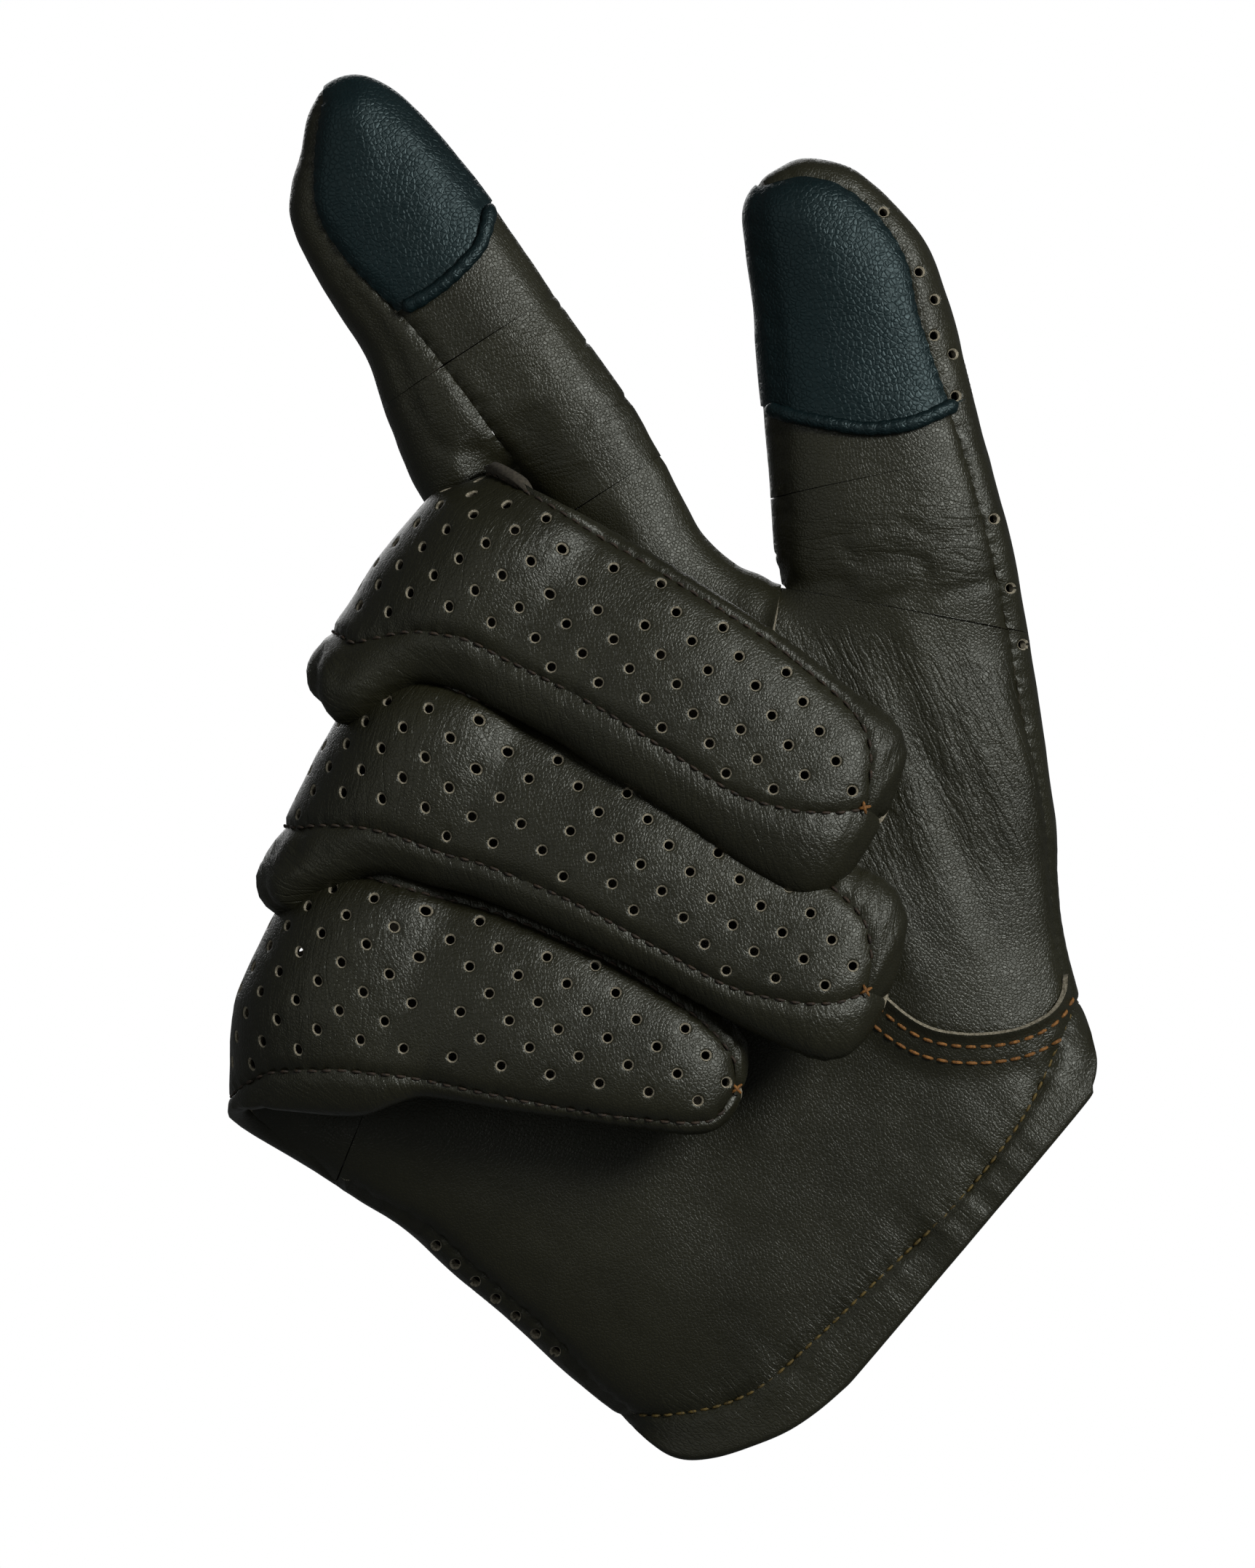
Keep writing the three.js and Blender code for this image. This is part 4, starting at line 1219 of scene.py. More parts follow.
def hem_gathers(points):
    """Fine puckers square to the hem's stitching."""
    x, z = points[:, 0], points[:, 1]
    near = np.exp(-distance_to_lines(points, [STITCH_LINE]) / 4.5)
    patchy = smooth(noise_at(21, x / 13), -0.5, 0.5)
    return 0.4 * near * noise_at(17, x / 2.6, z / 11.0) * (0.3 + patchy)


def hem_creases(points):
    near = np.exp(-distance_to_lines(points, [STITCH_LINE]) / 5.0)
    return np.stack([points[:, 0] * 1.5, points[:, 1], 0.35 * near], 1)


def seam_stand(points):
    """How far the palm's cut edge stands over the thumb piece; it lies down towards the glove's edge."""
    d = distance_to_lines(points, [KEY_SEAM])
    free = smooth(distance_to_lines(points, [HAND_RIGHT]), 0.5, 7.0)
    return (1.1 * (1 - smooth(d, 2.0, 8.0)) + 1.0 * (1 - smooth(d, 0, 1.6))) * (0.25 + 0.75 * free)


def palm_lift(points, side):
    return seam_stand(points) + hem_gathers(points)


def drape(points, side):
    """Soft folds that run from the thumb's root towards the cuff."""
    u, s = THUMB.local(points[:, 0], points[:, 1])
    here = smooth(s, -75, -45) * (1 - smooth(s, -16, 6))
    folds = noise_at(31, (u + 0.15 * s) / 5.0, s / 34.0)
    return 1.1 * here * folds + hem_gathers(points) - 0.25 * inside(points, palm_outline)


def thumb_root_creases(points):
    """Crease lines that run from the thumb's root down the ball of the thumb, and near the hem."""
    u, s = THUMB.local(points[:, 0], points[:, 1])
    here = smooth(s, -66, -40) * (1 - smooth(s, -12, 4))
    near = np.exp(-distance_to_lines(points, [STITCH_LINE]) / 5.0)
    away = smooth(distance_to_lines(points, [np.array(THUMB_START)]), 0, 9)
    return np.stack([u + 0.2 * s, s, 0.55 * here * away + 0.35 * near], 1)


panel("palm_skin", [(palm_outline, -1, None)], LEATHER, "smooth_leather", ["palm_panel"],
      seams=[ULNAR_SEAM, STITCH_LINE], lift=palm_lift, silhouette=[KEY_SEAM, WEB_SIDE], cuts=FLAT_ENDS,
      body="hand", creases=hem_creases)

TUCK = 2.8   # how far the thumb piece runs on under the palm
along_key = np.r_[0, np.cumsum(np.linalg.norm(np.diff(KEY_SEAM, axis=0), axis=1))]
tucked = KEY_SEAM + (offset_line(KEY_SEAM, -TUCK) - KEY_SEAM) * smooth(along_key, 0.5, 7.0)[:, None]
keystone = np.vstack([part_of(OUTER_SEAM, (53.2, 15.2), (105, 77.8)), [WEB], tucked[:-3][::-1]])
keystone = clip(keystone, lambda p: -past_thumb(p))
panel("keystone_skin", [(keystone, -1, None)], LEATHER, "smooth_leather", ["thumb_keystone"],
      seams=[OUTER_SEAM, STITCH_LINE], lift=drape, cuts=FLAT_ENDS, body="hand", creases=thumb_root_creases)

# The vent: a slot in the back of the wrist with a round end.
VENT_X, VENT_HALF, VENT_TOP, VENT_STEP = 6.0, 5.0, 34.0, 1.2
VENT_FOOT = 6.4   # below this the hem's own bands take over from the back panel
half_turn = np.linspace(0, math.pi, 13)
vent_path = np.vstack([[(VENT_X + VENT_HALF, z) for z in np.arange(0.2, VENT_TOP - VENT_HALF, VENT_STEP)],
                       np.stack([VENT_X + VENT_HALF * np.cos(half_turn),
                                 VENT_TOP - VENT_HALF + VENT_HALF * np.sin(half_turn)], 1),
                       [(VENT_X - VENT_HALF, z)
                        for z in np.arange(VENT_TOP - VENT_HALF - VENT_STEP / 2, 0.1, -VENT_STEP)]])
in_vent = np.abs(STITCH_LINE[:, 0] - VENT_X) < VENT_HALF
left_part = STITCH_LINE[(STITCH_LINE[:, 0] < VENT_X) & ~in_vent & (STITCH_LINE[:, 0] > -51)]
right_part = STITCH_LINE[(STITCH_LINE[:, 0] > VENT_X) & ~in_vent & (STITCH_LINE[:, 0] < 50.4)]
thumb_foot = part_of(HAND_RIGHT, (51.2, 10.2), THUMB_START[0])
vent_edge = vent_path[vent_path[:, 1] > VENT_FOOT][::-1]
back_outline = np.vstack([left_part, vent_edge, right_part, thumb_foot, [WEB], WEB_SIDE[:-1], ROWS,
                          HAND_LEFT[::-1]])
ulnar_strip = np.vstack([HAND_LEFT, LITTLE_ROW[LITTLE_ROW[:, 0] < SEAM_TOP[0]], [SEAM_TOP], ULNAR_SEAM[::-1]])
outer_wrap = np.vstack([part_of(HAND_RIGHT, (51.2, 10.2), (121, 139.2)), OUTER_SEAM[::-1]])

# The narrow strips of the back that wrap round to the palm side have their own rows of holes.
STRIP_PITCH, STRIP_INSETS, STRIP_MARGIN = 5.4, (3.3, 1.7), 0.8
strip_row = resample(OUTER_SEAM[OUTER_SEAM[:, 1] > 20], STRIP_PITCH)
strip_row = strip_row + 1.1 * noise_at(61, strip_row[:, 0] / 3, strip_row[:, 1] / 3)[:, None]
strip_row = offset_line(strip_row, np.take(STRIP_INSETS, np.arange(len(strip_row)) % 2)[:, None])
clear = distance_to_lines(strip_row, [THUMB_OUTER]) > STRIP_MARGIN
STRIP_HOLES = strip_row[inside(strip_row, outer_wrap) & clear]
ULNAR_PITCH, ULNAR_FROM, ULNAR_TO = 4.3, 38, 70
ulnar_middle = resample((HAND_LEFT + ULNAR_SEAM) / 2, ULNAR_PITCH)
ULNAR_HOLES = ulnar_middle[(ulnar_middle[:, 1] > ULNAR_FROM) & (ulnar_middle[:, 1] < ULNAR_TO)]
foot_strip = clip(clip(outer_wrap, lambda p: -past_thumb(p)), lambda p: p[:, 1] - 10.0)
panel("back_skin", [(back_outline, 1, HAND_HOLES), (ulnar_strip, -1, ULNAR_HOLES),
                    (foot_strip, -1, STRIP_HOLES)],
      LEATHER, "perforated_leather", ["back_panel"], seams=[ULNAR_SEAM, OUTER_SEAM, STITCH_LINE],
      silhouette=[HAND_LEFT, thumb_foot, WEB_SIDE], cuts=FLAT_ENDS, body="hand")


# ---------------------------------------------------------------- forefinger
def clip_all(polygon, *tests):
    for test in tests:
        polygon = clip(polygon, test)
    return polygon


def creased(stall, middle, spread, depth, seed):
    """Furrows across a finger where it bends."""
    def lift(points, side):
        u, s = stall.local(points[:, 0], points[:, 1])
        ridge = 1 - np.abs(noise_at(seed, s / 3.4, u / 12.0))
        return -depth * np.exp(-((s - middle) / spread) ** 2) * smooth(ridge, 0.72, 1.0)
    return lift


def finger_creases(stall, bends, strength):
    """Fine creases across a finger, strongest near its joints."""
    def places(points):
        u, s = stall.local(points[:, 0], points[:, 1])
        near = sum(np.exp(-((s - bend) / 7.0) ** 2) for bend in bends)
        away = smooth(distance_to_lines(points, [np.array(THUMB_START), INDEX_LINE]), 0, 9)
        return np.stack([s + 0.25 * u, u, strength * away * (0.12 + near)], 1)
    return places


PATCH_PROUD, PATCH_WRINKLE = 0.45, 0.35


def patch_lift(points, side):
    """A touch patch lies on top of the leather it is sewn to."""
    return np.full(len(points), PATCH_PROUD)


def digit_front(name, stall, root, below, wrap, patch, patch_wrap, seams, outer, furrows, creases):
    """The palm side of the forefinger or thumb in three pieces, each with the strip it wraps to the back.

    root: the test for lying past the hand's part. below: the leather under the patch."""
    shared = {"seams": seams, "silhouette": [outer], "stall": stall}
    for label, part, tests in (("base", "base", (root, before_cut(stall))),
                               ("middle", "tip", (after_cut(stall),))):
        panel(f"{name}_front_{label}_skin",
              [(clip_all(below, *tests), -1, None), (clip_all(wrap, *tests), 1, None)], LEATHER,
              "smooth_leather", [f"{name}_front_base"] if part == "base" else [], lift=furrows,
              cuts=FLAT_ENDS, part=part, creases=creases, **shared)
    panel(f"{name}_patch_skin", [(patch, -1, None), (patch_wrap, 1, None)], TOUCH, "touch_leather",
          [f"{name}_touch_patch"], lift=patch_lift, part="tip", wrinkle=PATCH_WRINKLE, **shared)


def split_at(polygon, line, spot):
    """A polygon's parts below and above the level at which a line comes nearest to a spot."""
    level = part_of(line, spot, spot)[0, 1]
    return clip(polygon, lambda p: level - p[:, 1]), clip(polygon, lambda p: p[:, 1] - level)


below_patch = np.vstack([part_of(INDEX_RIGHT, (75.6, 121), PATCH_EDGE[-1]), PATCH_EDGE[::-1],
                         part_of(INDEX_FRONT_SEAM, PATCH_EDGE[0], (54.4, 122.4))])
patch_outline = np.vstack([PATCH_EDGE, part_of(INDEX_RIGHT, PATCH_EDGE[-1], (87, 204.4)),
                           part_of(INDEX_FRONT_SEAM, (85, 203.4), PATCH_EDGE[0])])
index_wrap = np.vstack([INDEX_RIGHT, INDEX_RIGHT_SEAM[::-1]])
wrap_low, wrap_high = split_at(index_wrap, INDEX_RIGHT, PATCH_EDGE[-1])
index_creases = finger_creases(INDEX, (-6, 14), 0.3)
digit_front("index", INDEX, past_index, below_patch, wrap_low, patch_outline, wrap_high,
            [INDEX_FRONT_SEAM, INDEX_RIGHT_SEAM], INDEX_RIGHT, creased(INDEX, 4, 14, 0.4, 41), index_creases)

wall_front = np.vstack([INDEX_LEFT, INDEX_FRONT_SEAM[::-1]])
wall_back = np.vstack([INDEX_LEFT, INDEX_BACK_SEAM[::-1]])
index_back = np.vstack([INDEX_RIGHT_SEAM, [(86.6, 203.9)], INDEX_BACK_SEAM[::-1]])
for part, tests in (("base", (past_index, before_cut(INDEX))), ("tip", (after_cut(INDEX),))):
    panel(f"index_wall_ulnar_{part}_skin",
          [(clip_all(wall_front, *tests), -1, None), (clip_all(wall_back, *tests), 1, None)],
          LEATHER, "smooth_leather", [f"index_wall_ulnar_{part}"], seams=[INDEX_FRONT_SEAM, INDEX_BACK_SEAM],
          silhouette=[INDEX_LEFT], cuts=FLAT_ENDS, stall=INDEX, part=part, wrinkle=0.5, creases=index_creases)
    panel(f"index_back_{part}_skin", [(clip_all(index_back, *tests), 1, HAND_HOLES)],
          LEATHER, "perforated_leather", [f"index_back_{part}"], seams=[INDEX_BACK_SEAM, INDEX_RIGHT_SEAM],
          cuts=FLAT_ENDS, stall=INDEX, part=part)

# ---------------------------------------------------------------- thumb
INNER_SEAM = spline([WEB, (78.6, 97.4), (85, 103.6), (91, 109), (98.4, 115.6), (105.6, 122.8), (112, 130),
                     (115.6, 134.4), (118.4, 136.6), (121, 138.6)])
thumb_low = np.vstack([part_of(OUTER_SEAM, (80, 45), THUMB_PATCH_EDGE[-1]), THUMB_PATCH_EDGE[::-1],
                       part_of(THUMB_INNER, THUMB_PATCH_EDGE[0], WEB), [(60, 70)]])
thumb_patch = np.vstack([THUMB_PATCH_EDGE, part_of(OUTER_SEAM, THUMB_PATCH_EDGE[-1], (121, 138.6)),
                         part_of(THUMB_INNER, (121, 139.2), THUMB_PATCH_EDGE[0])])
wrap_low, wrap_high = split_at(np.vstack([THUMB_INNER, INNER_SEAM]), THUMB_INNER, THUMB_PATCH_EDGE[0])
digit_front("thumb", THUMB, past_thumb, thumb_low, wrap_low, thumb_patch, wrap_high, [OUTER_SEAM, INNER_SEAM],
            THUMB_INNER, creased(THUMB, -2, 13, 0.5, 43), finger_creases(THUMB, (-4, 7), 0.35))

thumb_back = np.vstack([part_of(HAND_RIGHT, (80, 42), (121, 139.2)), INNER_SEAM[::-1], [(60, 70)]])
for part, tests in (("base", (past_thumb, before_cut(THUMB))), ("tip", (after_cut(THUMB),))):
    panel(f"thumb_back_{part}_skin",
          [(clip_all(thumb_back, *tests), 1, HAND_HOLES), (clip_all(outer_wrap, *tests), -1, STRIP_HOLES)],
          LEATHER, "perforated_leather", [f"thumb_back_{part}"], seams=[OUTER_SEAM, INNER_SEAM],
          silhouette=[THUMB_OUTER], cuts=FLAT_ENDS, stall=THUMB, part=part)


# ---------------------------------------------------------------- hem, vent and strap
def closed_grid(name, rings, material, slot, nodes, **ending):
    """A closed piece from rings of points, each ring one cross-section, capped at both ends."""
    rings = np.asarray(rings)
    m, n = rings.shape[:2]
    index = np.arange(m * n).reshape(m, n)
    after = np.roll(index, -1, axis=1)
    walls = np.stack([index[:-1], after[:-1], after[1:], index[1:]], 2).reshape(-1, 4)
    points = rings.reshape(-1, 3)
    mesh = bpy.data.meshes.new(name)
    mesh.from_pydata(((points - ORIGIN) * MM).tolist(), [],
                     walls.tolist() + [index[0][::-1].tolist(), index[-1].tolist()])
    mesh.validate()
    a, b, c, d = (points[walls[:, k]] for k in range(4))
    if (a * np.cross(b, c)).sum() + (a * np.cross(c, d)).sum() < 0:
        mesh.flip_normals()
    mesh.polygons.foreach_set("use_smooth", np.ones(len(mesh.polygons), bool))
    mesh.materials.append(material)
    layer = mesh.attributes.new("pelt", "FLOAT_VECTOR", "POINT")
    layer.data.foreach_set("vector", (points[:, [0, 2, 1]] + 3.0 * len(name)).astype(np.float32).ravel())
    return finish_piece(new_object(name, mesh), slot, nodes, **ending)


HEM_ROLL = 1.15      # radius of the rolled rim
HEM_COLUMNS = 150    # points along the whole hem
SIDE_EDGE = 60       # past both side edges of the wrist


def hem_band(name, nodes, side, low, high):
    """The turned-up hem: one layer outside, a roll along the rim and one layer inside."""
    t = np.linspace(0, 1, HEM_COLUMNS)
    rim, line = (np.stack([np.interp(t, np.linspace(0, 1, len(curve)), curve[:, k]) for k in (0, 1)], 1)
                 for curve in (resample(RIM_LINE, 0.8), resample(STITCH_LINE, 0.8)))
    keep = (rim[:, 0] >= low) & (rim[:, 0] <= high)
    rim, line = rim[keep], line[keep]
    steps = np.linspace(0, 1, 8)
    flat = (line[None] + (rim - line)[None] * steps[:, None, None]).reshape(-1, 2)
    outer = flat_points(flat, side)
    faces = quads(len(steps), len(rim))
    normals = vertex_normals(outer, faces)
    if (normals[:, 1] * side).sum() < 0:
        normals = -normals
    normals = relax(normals, faces, 2)
    groove = seam_groove(distance_to_lines(flat, [STITCH_LINE]), flat[:, 0])
    lift = groove + soft_wrinkles(outer) + 1.3 * hem_gathers(flat)
    outer = (outer + normals * lift[:, None]).reshape(len(steps), -1, 3)
    normals = normals.reshape(len(steps), -1, 3)
    down = outer[-1] - outer[-3]
    down /= np.linalg.norm(down, axis=1)[:, None]
    inward = -normals[-1]
    roll = np.stack([outer[-1] + HEM_ROLL * (np.sin(a) * down + (1 - np.cos(a)) * inward)
                     for a in np.linspace(0.3, math.pi, 9)])
    sheet = np.vstack([outer, roll, (outer - normals * 2 * HEM_ROLL)[::-1]])
    outward = np.vstack([normals.reshape(-1, 3)] + [down] * len(roll) + [inward] * len(steps))
    rows, points = len(sheet), sheet.reshape(-1, 3)
    down_hem = np.repeat(np.arange(rows) * 0.9, len(rim))
    pelt = np.stack([points[:, 0], down_hem, np.full(len(points), 77.0 * side)], 1)
    ending = {"slot": "smooth_leather", "nodes": nodes, "body": "hand"}
    skin(name, points, quads(rows, len(rim)), outward, pelt, LEATHER, ending,
         family="front" if side < 0 else "back", cut=np.repeat(np.arange(rows) == 0, len(rim)), thickness=0.9,
         folds=hem_creases(points[:, [0, 2]]))


hem_band("palm_hem_skin", ["palm_hem_fold"], -1, -SIDE_EDGE, SIDE_EDGE)
hem_band("back_hem_ulnar_skin", ["back_hem_fold_ulnar"], 1, -SIDE_EDGE, VENT_X - VENT_HALF)
hem_band("back_hem_radial_skin", ["back_hem_fold_radial"], 1, VENT_X + VENT_HALF, SIDE_EDGE)

BIND_IN, BIND_OUT, BIND_HIGH = 2.5, 0.7, 1.25   # how far the vent's binding reaches into and out of the panel


def vent_binding():
    """The folded strip round the edge of the slot at the wrist."""
    path = resample(vent_path, 1.0)
    ahead = np.gradient(path, axis=0)
    ahead /= np.linalg.norm(ahead, axis=1)[:, None]
    away = np.stack([ahead[:, 1], -ahead[:, 0]], 1)   # from the slot into the panel
    loop = np.linspace(0, 2 * math.pi, 18, endpoint=False)
    bulge = BIND_HIGH * np.sign(np.sin(loop)) * np.abs(np.sin(loop)) ** 0.6
    rings = []
    for p, out in zip(path, away):
        reach = (BIND_IN + BIND_OUT) / 2 * np.cos(loop) + (BIND_IN - BIND_OUT) / 2
        spot = p + reach[:, None] * out
        y = hand_height(spot[:, 0], spot[:, 1], 1) - SKIN / 2 + bulge
        rings.append(np.stack([spot[:, 0], y, spot[:, 1]], 1))
    closed_grid("vent_binding_skin", rings, LEATHER, "smooth_leather", ["vent_binding"], body="hand")


vent_binding()
ORIGIN_Y = -ORIGIN[1]
TAB_ROW = 2.4   # how far the stitches run inside a tab's edge


def raised(places, y):
    """Points over places of the glove's plane, all at one height."""
    return np.stack([places[:, 0], np.full(len(places), y), places[:, 1]], 1)


def tab(node, tip_round, body):
    """A flat leather tab with turned edges and a row of stitches, in the box of its node."""
    (left, under, low), (right, over, high) = (np.array(corner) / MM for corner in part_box(node)[:2])
    middle, half, edge = (low + high) / 2, (high - low) / 2, 1.1

    def rounded_end(inset):
        """The tab's free end, or the line a little inside it, from the upper to the lower corner."""
        if inset and tip_round <= inset:
            return [(left + inset, high - inset), (left + inset, low + inset)]
        long, wide = tip_round - inset, half - inset
        return [(left + inset + long * (1 - math.cos(a)), middle - wide * math.sin(a))
                for a in np.linspace(-math.pi / 2, math.pi / 2, 17)]

    outline = refine(np.array([(right, low), (right, high)] + rounded_end(0)), 1.0)
    around = closed_line(outline)
    points, faces = triangulate(clean_outline(outline), np.zeros((0, 2)), MESH, [around])
    d = distance_to_lines(points, [around])
    turned = 1 - np.sqrt(1 - (1 - np.clip(d / edge, 0, 1)) ** 2)
    top = raised(points, over - ORIGIN_Y)
    top[:, 1] -= 0.55 * turned
    groove = -0.22 * np.exp(-((d - TAB_ROW) / 0.5) ** 2)
    pelt = raised(points, 5.0)[:, [0, 2, 1]]
    ending = {"slot": "smooth_leather", "nodes": [node], "body": body}
    skin(f"{node}_skin", top, faces, np.tile([0, 1.0, 0], (len(top), 1)), pelt, LEATHER, ending,
         family="strap", lift=groove + soft_wrinkles(top, 0.08), thickness=over - under, rim=LEATHER,
         lining=LEATHER)
    row = [(right - TAB_ROW, low + TAB_ROW), (right - TAB_ROW, high - TAB_ROW)] + rounded_end(TAB_ROW)
    pitch, length, radius = TAB_STITCH
    spots = resample(np.array(row), pitch, closed=True)
    ahead = np.roll(spots, -1, axis=0) - np.roll(spots, 1, axis=0)
    obj, _ = stitches(f"{node}_stitches", raised(spots, over - ORIGIN_Y - 0.2), raised(0 * spots, 1.0),
                      raised(ahead, 0.0), length, radius, HEM_THREAD)
    finish_piece(obj, "sewing_thread", [], body=body)


# ---------------------------------------------------------------- thread and welts
# Kinds of stitch: the distance from one to the next, their length and the radius of the thread.
HEM_STITCH, THUMB_STITCH = (2.1, 1.7, 0.26), (2.45, 2.05, 0.31)
SEAM_STITCH, TAB_STITCH, TACK_STITCH = (2.6, 1.7, 0.26), (2.4, 1.8, 0.26), (0.0, 2.2, 0.3)
THREAD_SIDES, THREAD_RINGS = 6, 7


def stitches(name, points, normals, aheads, length, radius, material, weights=None, proud=0.25):
    """Short sunk-ended threads, one at each point, as one object. Returns it, and each vertex's weight."""
    t = np.linspace(-1, 1, THREAD_RINGS)
    around = np.linspace(0, 2 * math.pi, THREAD_SIDES, endpoint=False)
    index = np.arange(THREAD_RINGS * THREAD_SIDES).reshape(THREAD_RINGS, THREAD_SIDES)
    after = np.roll(index, -1, axis=1)
    walls = np.stack([index[:-1], after[:-1], after[1:], index[1:]], 2).reshape(-1, 4)
    one = walls.tolist() + [index[0][::-1].tolist(), index[-1].tolist()]
    verts, faces = [], []
    for k, (p, n, a) in enumerate(zip(points, normals, aheads)):
        a = a / np.linalg.norm(a)
        n = n - a * (n @ a)
        n /= np.linalg.norm(n)
        b = np.cross(n, a)
        for v in t:
            thick = radius * (1 - 0.45 * abs(v) ** 3)
            centre = p + a * v * length / 2 + n * (proud * radius - 1.3 * radius * abs(v) ** 3)
            verts.append(centre + thick * (np.cos(around)[:, None] * n + np.sin(around)[:, None] * b))
        faces += [[corner + k * index.size for corner in face] for face in one]
    mesh = bpy.data.meshes.new(name)
    mesh.from_pydata(((np.vstack(verts) - ORIGIN) * MM).tolist(), [], faces)
    mesh.polygons.foreach_set("use_smooth", np.ones(len(mesh.polygons), bool))
    mesh.materials.append(material)
    return new_object(name, mesh), (None if weights is None else np.repeat(weights, index.size))


tab("wrist_strap", 7.0, "strap")
tab("strap_anchor", 1.0, "hand")
for node in ("snap_cap", "snap_socket", "snap_stud", "snap_post"):
    for place in bpy.data.objects[node].material_slots:
        place.material = BRASS


def flat_row(line, side, pitch, lift):
    """Stitch places along a line of the flat glove."""
    spots = resample(line, pitch)
    spots = (spots[1:] + spots[:-1]) / 2
    points, normals = flat_points(spots, side), flat_normals(spots, side)
    return points + normals * lift(spots)[:, None], normals, np.gradient(points, axis=0)


def sew_flat(name, line, side, kind, material, nodes, lift):
    """A row of stitches on the hand. lift: how far it stands off the plain glove, at places along it."""
    pitch, length, radius = kind
    points, normals, ahead = flat_row(line, side, pitch, lift)
    obj, _ = stitches(name, points, normals, ahead, length, radius, material)
    finish_piece(obj, "sewing_thread", nodes, body="hand")


def on_palm(spots):
    sheet = flat_points(spots, -1)
    return soft_wrinkles(sheet) + seam_stand(spots) + 0.1 + hem_gathers(spots)


def in_palm_groove(spots):
    return soft_wrinkles(flat_points(spots, -1)) - 0.62


def in_back_groove(spots):
    return soft_wrinkles(flat_points(spots, 1)) - 0.6


sew_flat("hem_stitches", part_of(STITCH_LINE, (-49.6, 22.6), (49.4, 9.9)), -1, HEM_STITCH, HEM_THREAD,
         ["hem_thread"], in_palm_groove)
for label, start, inset in (("outer", (50.8, 13.8), -1.9), ("inner", (46, 13.4), -4.6)):
    sew_flat(f"keystone_stitches_{label}", offset_line(part_of(KEY_SEAM, start, (33, 50)), inset), -1,
             THUMB_STITCH, THREAD, [f"keystone_thread_{label}"], on_palm)
for label, line in (("ulnar", left_part[1:]), ("radial", right_part[:-1])):
    sew_flat(f"back_hem_stitches_{label}", line, 1, HEM_STITCH, HEM_THREAD, [], in_back_groove)


SEAM_GAP = 0.9   # how far the stitches keep from the line between a finger's two bodies


def sew_stall(stall, side, seam_end):
    """Dark stitches along a back seam of a folded finger, in a base and a tip row."""
    seam = stall.seams[0 if side < 0 else 1]
    s = np.arange(-8.0, seam_end, 0.4)
    u = side * seam(s)
    sheet = stall_points(stall, u, s, 1)
    posed = stall.posed(sheet)
    length = np.r_[0, np.cumsum(np.linalg.norm(np.diff(posed, axis=0), axis=1))]
    pitch, long, radius = SEAM_STITCH
    at = np.arange(1.0, length[-1], pitch)
    u, s = np.interp(at, length, u), np.interp(at, length, s)
    for part, chosen in (("base", s < stall.cut - SEAM_GAP), ("tip", s > stall.cut + SEAM_GAP)):
        a, b = u[chosen], s[chosen]
        flat = stall_points(stall, a, b, 1)
        step = 0.3
        across = stall_points(stall, a + step, b, 1) - stall_points(stall, a - step, b, 1)
        ahead = stall_points(stall, a, b + step, 1) - stall_points(stall, a, b - step, 1)
        normal = np.cross(ahead, across)
        normal *= np.sign(normal[:, 1:2] + 1e-9) / np.linalg.norm(normal, axis=1)[:, None]
        weights = stall.weights(flat)[0 if part == "base" else 1]
        points = stall.posed(flat)
        direction = stall.posed(flat + normal) - points
        points = points + direction * (soft_wrinkles(flat)[:, None] - 0.5)
        obj, w = stitches(f"{stall.name}_seam_{'ulnar' if side < 0 else 'radial'}_{part}_stitches", points,
                          direction, np.gradient(points, axis=0), long, radius, DARK_THREAD, weights)
        pair = BODY_PAIRS[stall.name][0 if part == "base" else 1]
        finish_piece(obj, "sewing_thread", [], pair=pair, weights=w)


for stall, end in ((LITTLE, 70.6), (RING, 85.6), (MIDDLE, 77.2)):
    sew_stall(stall, -1, end)
    sew_stall(stall, 1, end)


WELT_STEP, WELT_PROUD = 0.45, 0.75


def welt(name, line, stall, material):
    """A corded welt, pulled in by its stitches, along the lower edge of a touch patch."""
    spots = resample(line, WELT_STEP)
    base, normal = flat_points(spots, -1), relax_line(flat_normals(spots, -1))
    centre = base + normal * (WELT_PROUD + soft_wrinkles(base, PATCH_WRINKLE))[:, None]
    ahead = np.gradient(centre, axis=0)
    ahead /= np.linalg.norm(ahead, axis=1)[:, None]
    side = np.cross(normal, ahead)
    around = np.linspace(0, 2 * math.pi, 14, endpoint=False)
    along = np.arange(len(spots)) * WELT_STEP
    uneven = 0.1 * noise_at(51, along / 3, along / 3, along / 3)
    bumps = 1.05 + 0.14 * np.abs(np.sin(along * math.pi / 2.3)) + uneven
    ends = np.sqrt(np.clip(np.minimum(along, along[::-1]) / 1.0, 0.04, 1))
    rings = [c + r * (0.85 * np.cos(around)[:, None] * n + 1.1 * np.sin(around)[:, None] * b)
             for c, n, b, r in zip(centre, normal, side, bumps * ends)]
    weights = np.repeat(stall.weights(base)[1], len(around))
    closed_grid(name, rings, material, "touch_leather", [], pair=BODY_PAIRS[stall.name][1], weights=weights)


def relax_line(vectors, rounds=6):
    for _ in range(rounds):
        vectors = np.vstack([vectors[:1], (vectors[:-2] + 2 * vectors[1:-1] + vectors[2:]) / 4, vectors[-1:]])
    return vectors / np.linalg.norm(vectors, axis=1)[:, None]


def tack(stall, s):
    """Two crossed stitches where a folded finger's seams end."""
    flat = stall_points(stall, np.full(2, stall.meet[0]), np.full(2, s), 1)
    points = stall.posed(flat)
    out = stall.posed(flat + [0, 1.0, 0]) - points
    ways = stall.posed(flat + np.array([[1.0, 0, 1.0], [1.0, 0, -1.0]])) - points
    _, length, radius = TACK_STITCH
    obj, w = stitches(f"{stall.name}_tack", points + 0.25 * out, out, ways, length, radius, THREAD,
                      stall.weights(flat)[1])
    finish_piece(obj, "sewing_thread", [], pair=BODY_PAIRS[stall.name][1], weights=w)


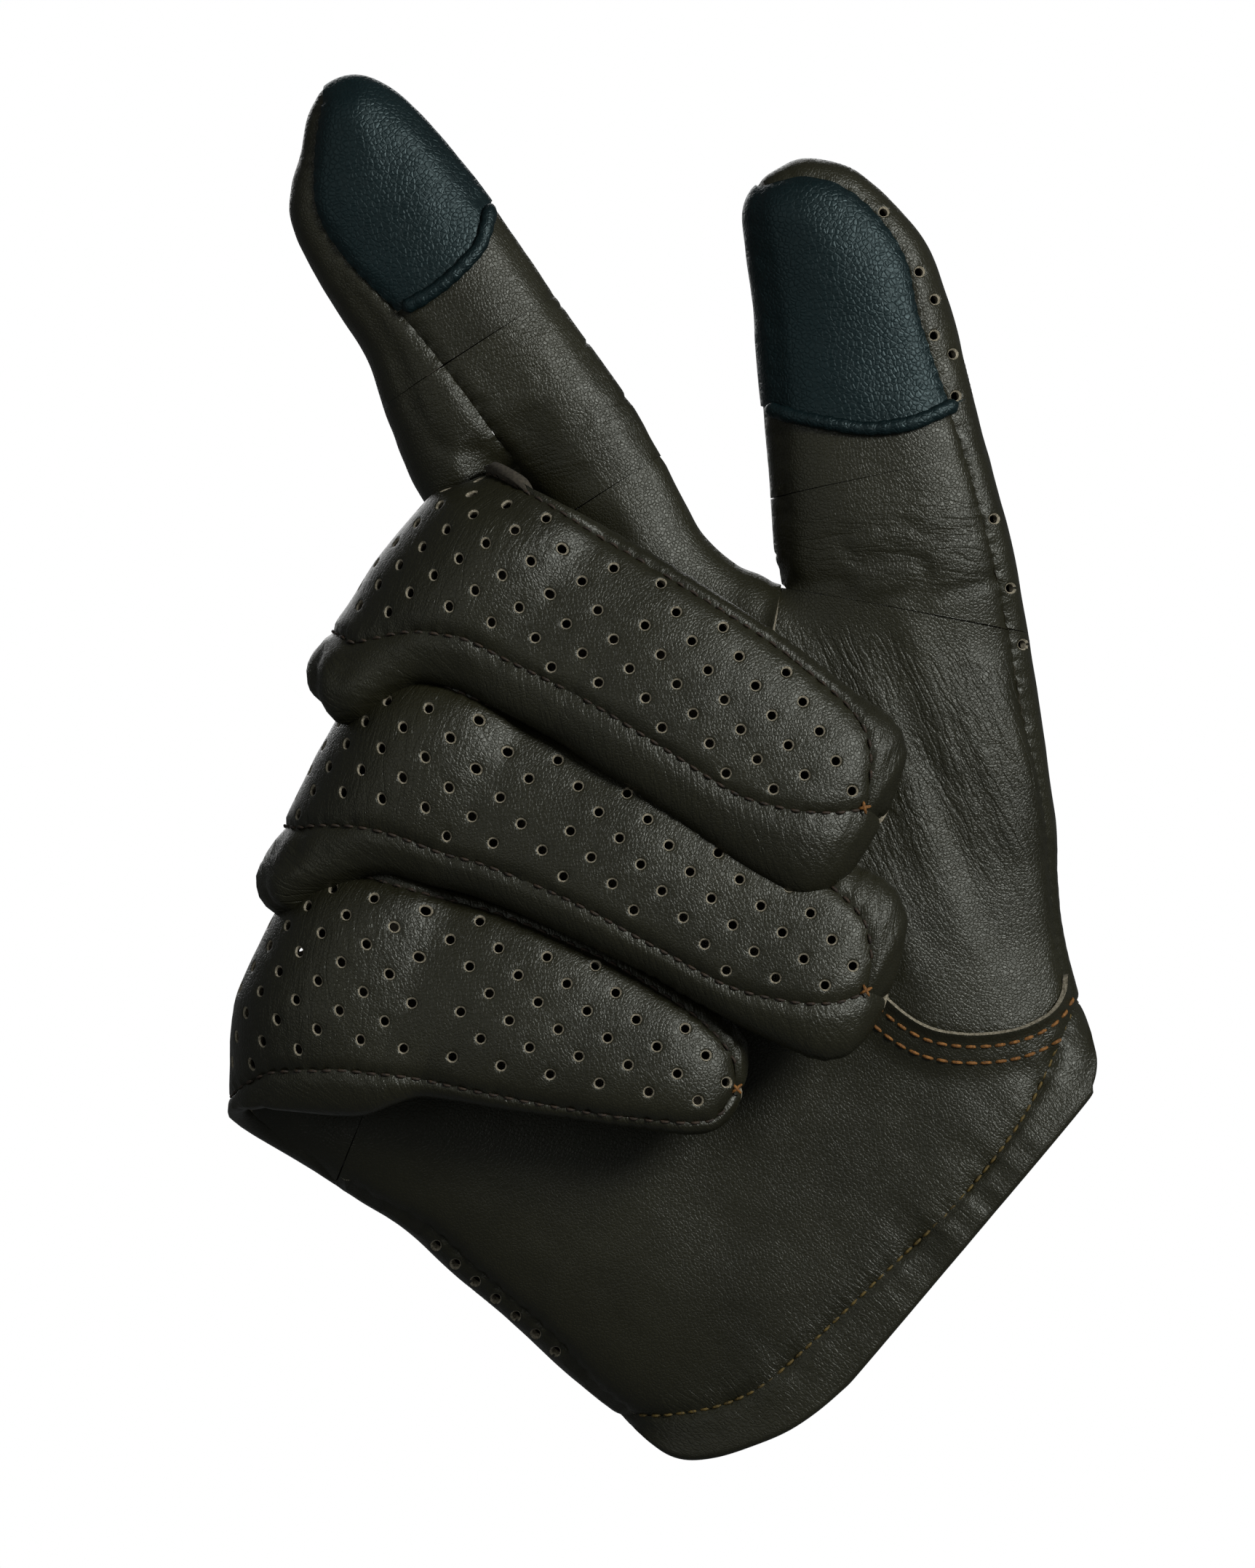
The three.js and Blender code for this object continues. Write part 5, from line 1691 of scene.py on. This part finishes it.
tack(MIDDLE, 77.4)
tack(RING, 85.8)
tack(LITTLE, 70.8)

sew_together()

welt("index_patch_welt", PATCH_EDGE[3:-2], INDEX, TOUCH)
welt("thumb_patch_welt", THUMB_PATCH_EDGE[2:-4], THUMB, TOUCH)

# ---------------------------------------------------------------- camera, light and floor
FRAME_CENTRE = Vector((30.5, 0, 91.4)) * MM
FRAME_HEIGHT = 260.35 * MM
CAMERA_BACK = 1.6
camera_data = bpy.data.cameras.new("camera")
camera = new_object("camera", camera_data)
camera_data.sensor_width = 36.0
camera_data.lens = CAMERA_BACK * camera_data.sensor_width / FRAME_HEIGHT
# The camera looks square at the palm, and is rolled by 50 degrees.
right, up, back = Vector((0.643, 0, -0.766)), Vector((0.766, 0, 0.643)), Vector((0, -1, 0))
turned = Matrix((right, up, back)).transposed().to_4x4()
turned.translation = FRAME_CENTRE + back * CAMERA_BACK
camera.matrix_world = turned
scene.camera = camera

# The world looks white to the camera, and lights the glove only dimly.
world = bpy.data.worlds.new("studio")
scene.world = world
world.use_nodes = True
tree = world.node_tree
white = tree.nodes["Background"]
connect(tree, white, {"Color": (1, 1, 1, 1)})
dim = add(tree, "Background", {"Color": (0.95, 0.98, 1, 1), "Strength": 0.11})
seen = add(tree, "LightPath", {}).outputs["Is Camera Ray"]
choose = add(tree, "MixShader", {"Fac": seen, 1: dim.outputs["Background"], 2: white.outputs["Background"]})
connect(tree, tree.nodes["World Output"], {"Surface": choose.outputs["Shader"]})
scene.view_settings.view_transform = "Standard"


def softbox(name, at, aim, size, power):
    data = bpy.data.lights.new(name, "AREA")
    data.shape, data.size, data.energy = "SQUARE", size, power
    lamp = new_object(name, data)
    lamp.location = Vector(at)
    lamp.rotation_mode = "QUATERNION"
    lamp.rotation_quaternion = (Vector(aim) - Vector(at)).to_track_quat("-Z", "Y")


AIM = (0.03, 0, 0.09)
softbox("key", (0.93, -0.9, -0.2), AIM, 0.42, 15)
softbox("fill", (-0.2, -1.2, 0.9), AIM, 0.8, 1.7)
softbox("rear", (0.3, 1.2, 0.6), AIM, 0.9, 7)

# The pale surface the glove is laid on, far enough behind it to stay free of shadows; it shows from one
# side only.
FLOOR_BACK, FLOOR_HALF = 0.5, 4.0
floor_mesh = bpy.data.meshes.new("floor")
corners = ((-1, -1), (1, -1), (1, 1), (-1, 1))
floor_mesh.from_pydata([(x * FLOOR_HALF, FLOOR_BACK, z * FLOOR_HALF) for x, z in corners], [], [(0, 1, 2, 3)])
pale = bpy.data.materials.new("pale_floor")
pale.use_nodes = True
tree = pale.node_tree
clear = add(tree, "BsdfTransparent", {}).outputs["BSDF"]
glow = add(tree, "Emission", {}).outputs["Emission"]
seen = add(tree, "LightPath", {}).outputs["Is Camera Ray"]
behind = add(tree, "NewGeometry", {}).outputs["Backfacing"]
first = add(tree, "MixShader", {"Fac": seen, 1: clear, 2: glow})
second = add(tree, "MixShader", {"Fac": behind, 1: first.outputs["Shader"], 2: clear})
connect(tree, tree.nodes["Material Output"], {"Surface": second.outputs["Shader"]})
floor_mesh.materials.append(pale)
new_object("floor", floor_mesh)
